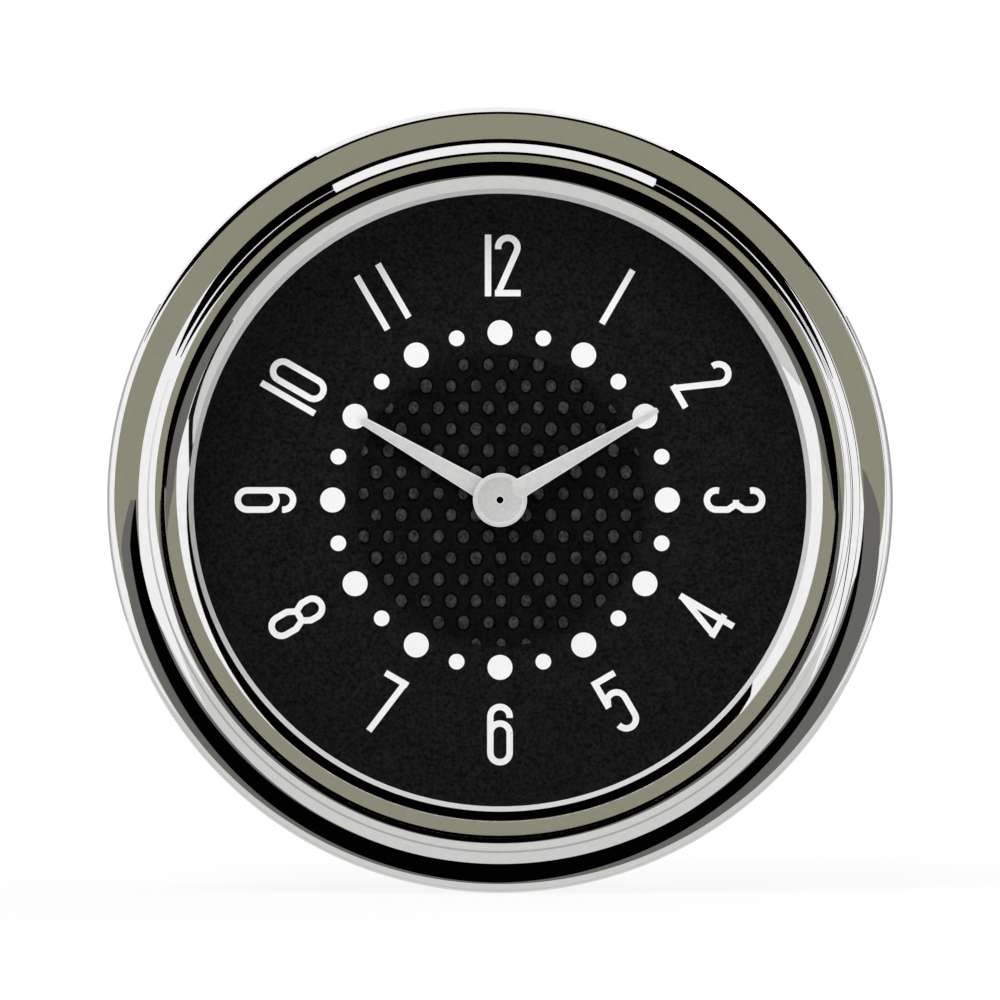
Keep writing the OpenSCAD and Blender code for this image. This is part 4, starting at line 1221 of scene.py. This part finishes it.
@dataclass(frozen=True)
class Card:
    """A studio card that only mirrors see: a patch of a sphere round the clock.

    Each knot is a turn, clockwise from 12 as the camera sees it, with the card's nearer and farther
    edge there as tilts from the camera's direction, all in degrees. The reach is in metres.
    """

    name: str
    colour: str
    knots: tuple[Triple, ...]
    reach: float = 1.0
    step: float = 2.0
    across: int = 24

    def edges(self) -> list[tuple[float, ...]]:
        """Fills in points between the knots.

        Returns:
            The knots and the points, in order.
        """
        filled: list[tuple[float, ...]] = [self.knots[0]]
        for one, two in zip(self.knots, self.knots[1:]):
            count = max(1, math.ceil((two[0] - one[0]) / self.step))
            filled += [tuple(a + (b - a) * i / count for a, b in zip(one, two))
                       for i in range(1, count + 1)]
        return filled

    def build(self) -> Piece:
        """Builds the card, lit by itself and seen by mirrors alone.

        Returns:
            The new object.
        """
        mesh = bmesh.new()
        rows = []
        for turn, near, far in self.edges():
            side, up = math.sin(math.radians(turn)), math.cos(math.radians(turn))
            tilts = [math.radians(near + (far - near) * j / self.across)
                     for j in range(self.across + 1)]
            rows.append([mesh.verts.new((
                self.reach * math.sin(tilt) * side, -self.reach * math.cos(tilt),
                self.reach * math.sin(tilt) * up)) for tilt in tilts])
        skin(mesh, rows, closed=False)
        bmesh.ops.dissolve_degenerate(mesh, edges=mesh.edges, dist=TINY)
        made = mesh_object(self.name, mesh)
        material, add = new_material(self.name)
        glow = add("ShaderNodeEmission", {"Color": linear(self.colour), "Strength": 1.0})
        add("ShaderNodeOutputMaterial", {"Surface": glow})
        made.data.materials.append(material)
        made.visible_camera = made.visible_diffuse = False
        made.visible_transmission = made.visible_shadow = False
        return made


# A card with a nearer reach hides the ones behind it.
CARDS = (
    Card("lens_hood", "#000000", ((-180, 0, 9), (180, 0, 9)), 0.80),
    Card("card_top", "#959381", (
        (-120, 30, 50), (-104, 9, 72), (-92, 9, 82), (-60, 9, 83.5), (60, 9, 83.5), (86, 9, 82),
        (96, 9, 70), (106, 20, 45))),
    Card("flag_top", "#020202", (
        (-66, 104, 108), (-60, 95, 113), (-52, 85, 115), (-48, 83.5, 116), (-28.2, 83.5, 117),
        (-28, 83.5, 98), (26, 83.5, 98), (26.2, 83.5, 117), (44, 83.5, 116), (50, 86, 115),
        (60, 97, 113), (70, 106, 108)), 0.9),
    Card("card_left", "#6d6c69", (
        (-180, 60, 74), (-150, 50, 78), (-128, 45, 84), (-112, 40, 82), (-97, 30, 64),
        (-90, 14, 30)), 0.95),
    Card("card_right", "#6d6c69", (
        (84, 12, 14), (92, 15, 58), (104, 22, 80), (120, 35, 84), (150, 50, 76),
        (180, 60, 74)), 0.95),
    Card("flag_low_left", "#020202", (
        (-180, 9, 69), (-142, 9, 62), (-117, 9, 49), (-97, 9, 38), (-88, 9, 14)), 0.85),
    Card("flag_low_right", "#020202", (
        (92, 9, 18), (107, 9, 29), (120, 9, 38), (145, 9, 49), (165, 9, 60), (180, 9, 69)), 0.85),
    Card("table_left", "#d8d8d6", (
        (-180, 72, 160), (-142, 76, 160), (-126, 87, 160), (-108, 124, 160))),
    Card("table_right", "#d8d8d6", (
        (108, 124, 160), (122, 87, 160), (142, 75, 160), (180, 72, 160))),
    Card("card_rear_left", "#b4b4b3", (
        (-116, 128, 160), (-100, 121, 160), (-74, 119, 160), (-60, 126, 160))),
    Card("card_rear_right", "#a2a2a1", (
        (62, 126, 160), (76, 119, 160), (102, 121, 160), (118, 128, 160))),
    Card("flag_right", "#2a2a2a", (
        (58, 116, 117), (80, 112.5, 115.5), (97, 112, 116), (102, 107, 111), (107, 100, 103),
        (112, 93, 95.5), (118, 88.6, 89.6))),
    Card("flag_lip", "#161616", (
        (96, 87.4, 88.4), (100, 85.8, 87.6), (105, 83.2, 85.2), (112, 83.1, 84.2),
        (124, 83.1, 83.5)), 0.9),
    Card("table_lip_left", "#d8d8d6", (
        (-138, 83.1, 88.6), (-117, 83.1, 88.6), (-111, 83.1, 84)), 0.93),
    Card("table_lip_right", "#d8d8d6", (
        (98, 87.6, 88.6), (105, 83.1, 88.6), (138, 83.1, 88.6)), 0.93),
    Card("flag_wedge", "#020202", ((44, 83.5, 88.5), (66, 85.2, 88.5), (97, 87.6, 88.5)), 0.9),
    Card("seam_left", "#b2b2b0", ((-180, 113, 118), (-110, 113.5, 117.5), (-70, 115, 116)), 0.97),
    Card("seam_right", "#b2b2b0", ((116, 115, 116), (140, 113.5, 117.5), (180, 113, 118)), 0.97),
)


@dataclass(frozen=True)
class Lamp:
    """A round soft lamp: place and diameter in metres, watts, and whether mirrors see it."""

    name: str
    spot: Triple
    size: float
    power: float
    mirrored: bool = False


@dataclass
class Studio:
    """The camera at the photograph's angle, soft lamps, a white surround and a pale floor.

    The camera's distance and clip and the floor's half width are in metres. To the camera, a share
    of floor_white of the floor's colour is plain white, and the rest takes the light and shadow.
    """

    distance: float = 0.9
    px_mm: float = 30.15 / 393.0
    frame_px: float = 1000.0
    sensor: float = 36.0
    clip: Pair = (0.05, 20.0)
    silhouette_z: float = 2.2
    floor_z: float = -30.2
    floor_half: float = 0.3
    floor_white: float = 0.9
    surround: float = 0.5
    lamps: tuple[Lamp, ...] = (
        Lamp("key", (-0.35, -0.9, 1.0), 0.6, 10.0),
        Lamp("front", (0.2, -1.3, 0.1), 0.5, 2.0),
        Lamp("rear", (0.5, 1.0, 0.8), 0.8, 6.0, mirrored=True),
    )

    def camera(self) -> None:
        """Sets the camera straight in front of the dial."""
        data = bpy.data.cameras.new("camera")
        width = self.frame_px * self.px_mm * MM
        data.sensor_width = self.sensor
        data.lens = self.sensor * self.distance / width
        data.clip_start, data.clip_end = self.clip
        made = link_object("camera", data)
        made.location = (0.0, -self.distance - self.silhouette_z * MM, 0.0)
        made.rotation_euler = (math.pi / 2, 0.0, 0.0)
        bpy.context.scene.camera = made

    def light(self) -> None:
        """Adds the lamps, which point at the clock."""
        for lamp in self.lamps:
            data = bpy.data.lights.new(lamp.name, "AREA")
            data.shape = "DISK"
            data.size = lamp.size
            data.energy = lamp.power
            made = link_object(lamp.name, data)
            aim = Matrix.Translation(lamp.spot)
            turn = (-aim.translation).to_track_quat("-Z", "Y")
            made.matrix_world = aim @ turn.to_matrix().to_4x4()
            made.visible_camera = False
            made.visible_glossy = lamp.mirrored

    def world(self) -> None:
        """Makes a surround that is white to the camera, to mirrors and through glass."""
        made = bpy.data.worlds.new("surround")
        bpy.context.scene.world = made
        made.use_nodes = True
        made.node_tree.nodes.clear()
        add = partial(add_node, made.node_tree)
        path = add("ShaderNodeLightPath").outputs
        seen = add("ShaderNodeMath", {0: path["Is Camera Ray"], 1: path["Is Glossy Ray"]},
                   operation="MAXIMUM")
        shown = add("ShaderNodeMath", {0: seen, 1: path["Is Transmission Ray"]},
                    operation="MAXIMUM")
        level = add("ShaderNodeMapRange", {"Value": shown, "To Min": self.surround})
        back = add("ShaderNodeBackground", {"Color": linear(WHITE), "Strength": level})
        add("ShaderNodeOutputWorld", {"Surface": back})

    def floor(self) -> None:
        """Lays a pale floor that keeps the clock's shadow."""
        mesh = bmesh.new()
        bmesh.ops.create_grid(mesh, x_segments=1, y_segments=1, size=self.floor_half)
        bmesh.ops.translate(mesh, verts=mesh.verts, vec=(0.0, 0.0, self.floor_z * MM))
        made = mesh_object("floor", mesh)
        material, add = new_material("pale floor")
        path = add("ShaderNodeLightPath").outputs
        matt = add("ShaderNodeBsdfDiffuse", {"Color": linear(WHITE)})
        white = add("ShaderNodeEmission", {"Color": linear(WHITE), "Strength": 1.0})
        share = add("ShaderNodeMath", {0: path["Is Camera Ray"], 1: self.floor_white},
                    operation="MULTIPLY")
        both = add("ShaderNodeMixShader", {0: share, 1: matt, 2: white})
        add("ShaderNodeOutputMaterial", {"Surface": both})
        made.data.materials.append(material)
        made.visible_glossy = False

    def build(self) -> None:
        """Builds the whole studio."""
        bpy.context.scene.view_settings.view_transform = "Standard"
        self.camera()
        self.light()
        self.world()
        self.floor()
        for card in CARDS:
            card.build()


def main() -> None:
    """Builds the studio and each sub-assembly in order."""
    logging.basicConfig(level=logging.INFO, format="%(name)s: %(message)s")
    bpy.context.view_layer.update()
    steps: tuple[Callable[[], None], ...] = (
        Studio().build,
        Bezel().dress,
        Dial().dress,
        Hand("hour_hand_satin", "hour_hand", "hour_train", angle=300.0, length=12.31, back=0.05,
             hub_r=1.98, bore_r=1.44, tip_w=0.64).dress,
        MinuteHand("minute_hand_satin", "minute_hand", "minute_train", angle=60.2, length=13.97,
                   back=0.9, hub_r=2.08, bore_r=0.27, tip_w=0.46).dress,
        Case().dress,
        PanelClamp().dress,
        Movement().dress,
    )
    for step in steps:
        step()


if __name__ == "__main__":
    main()
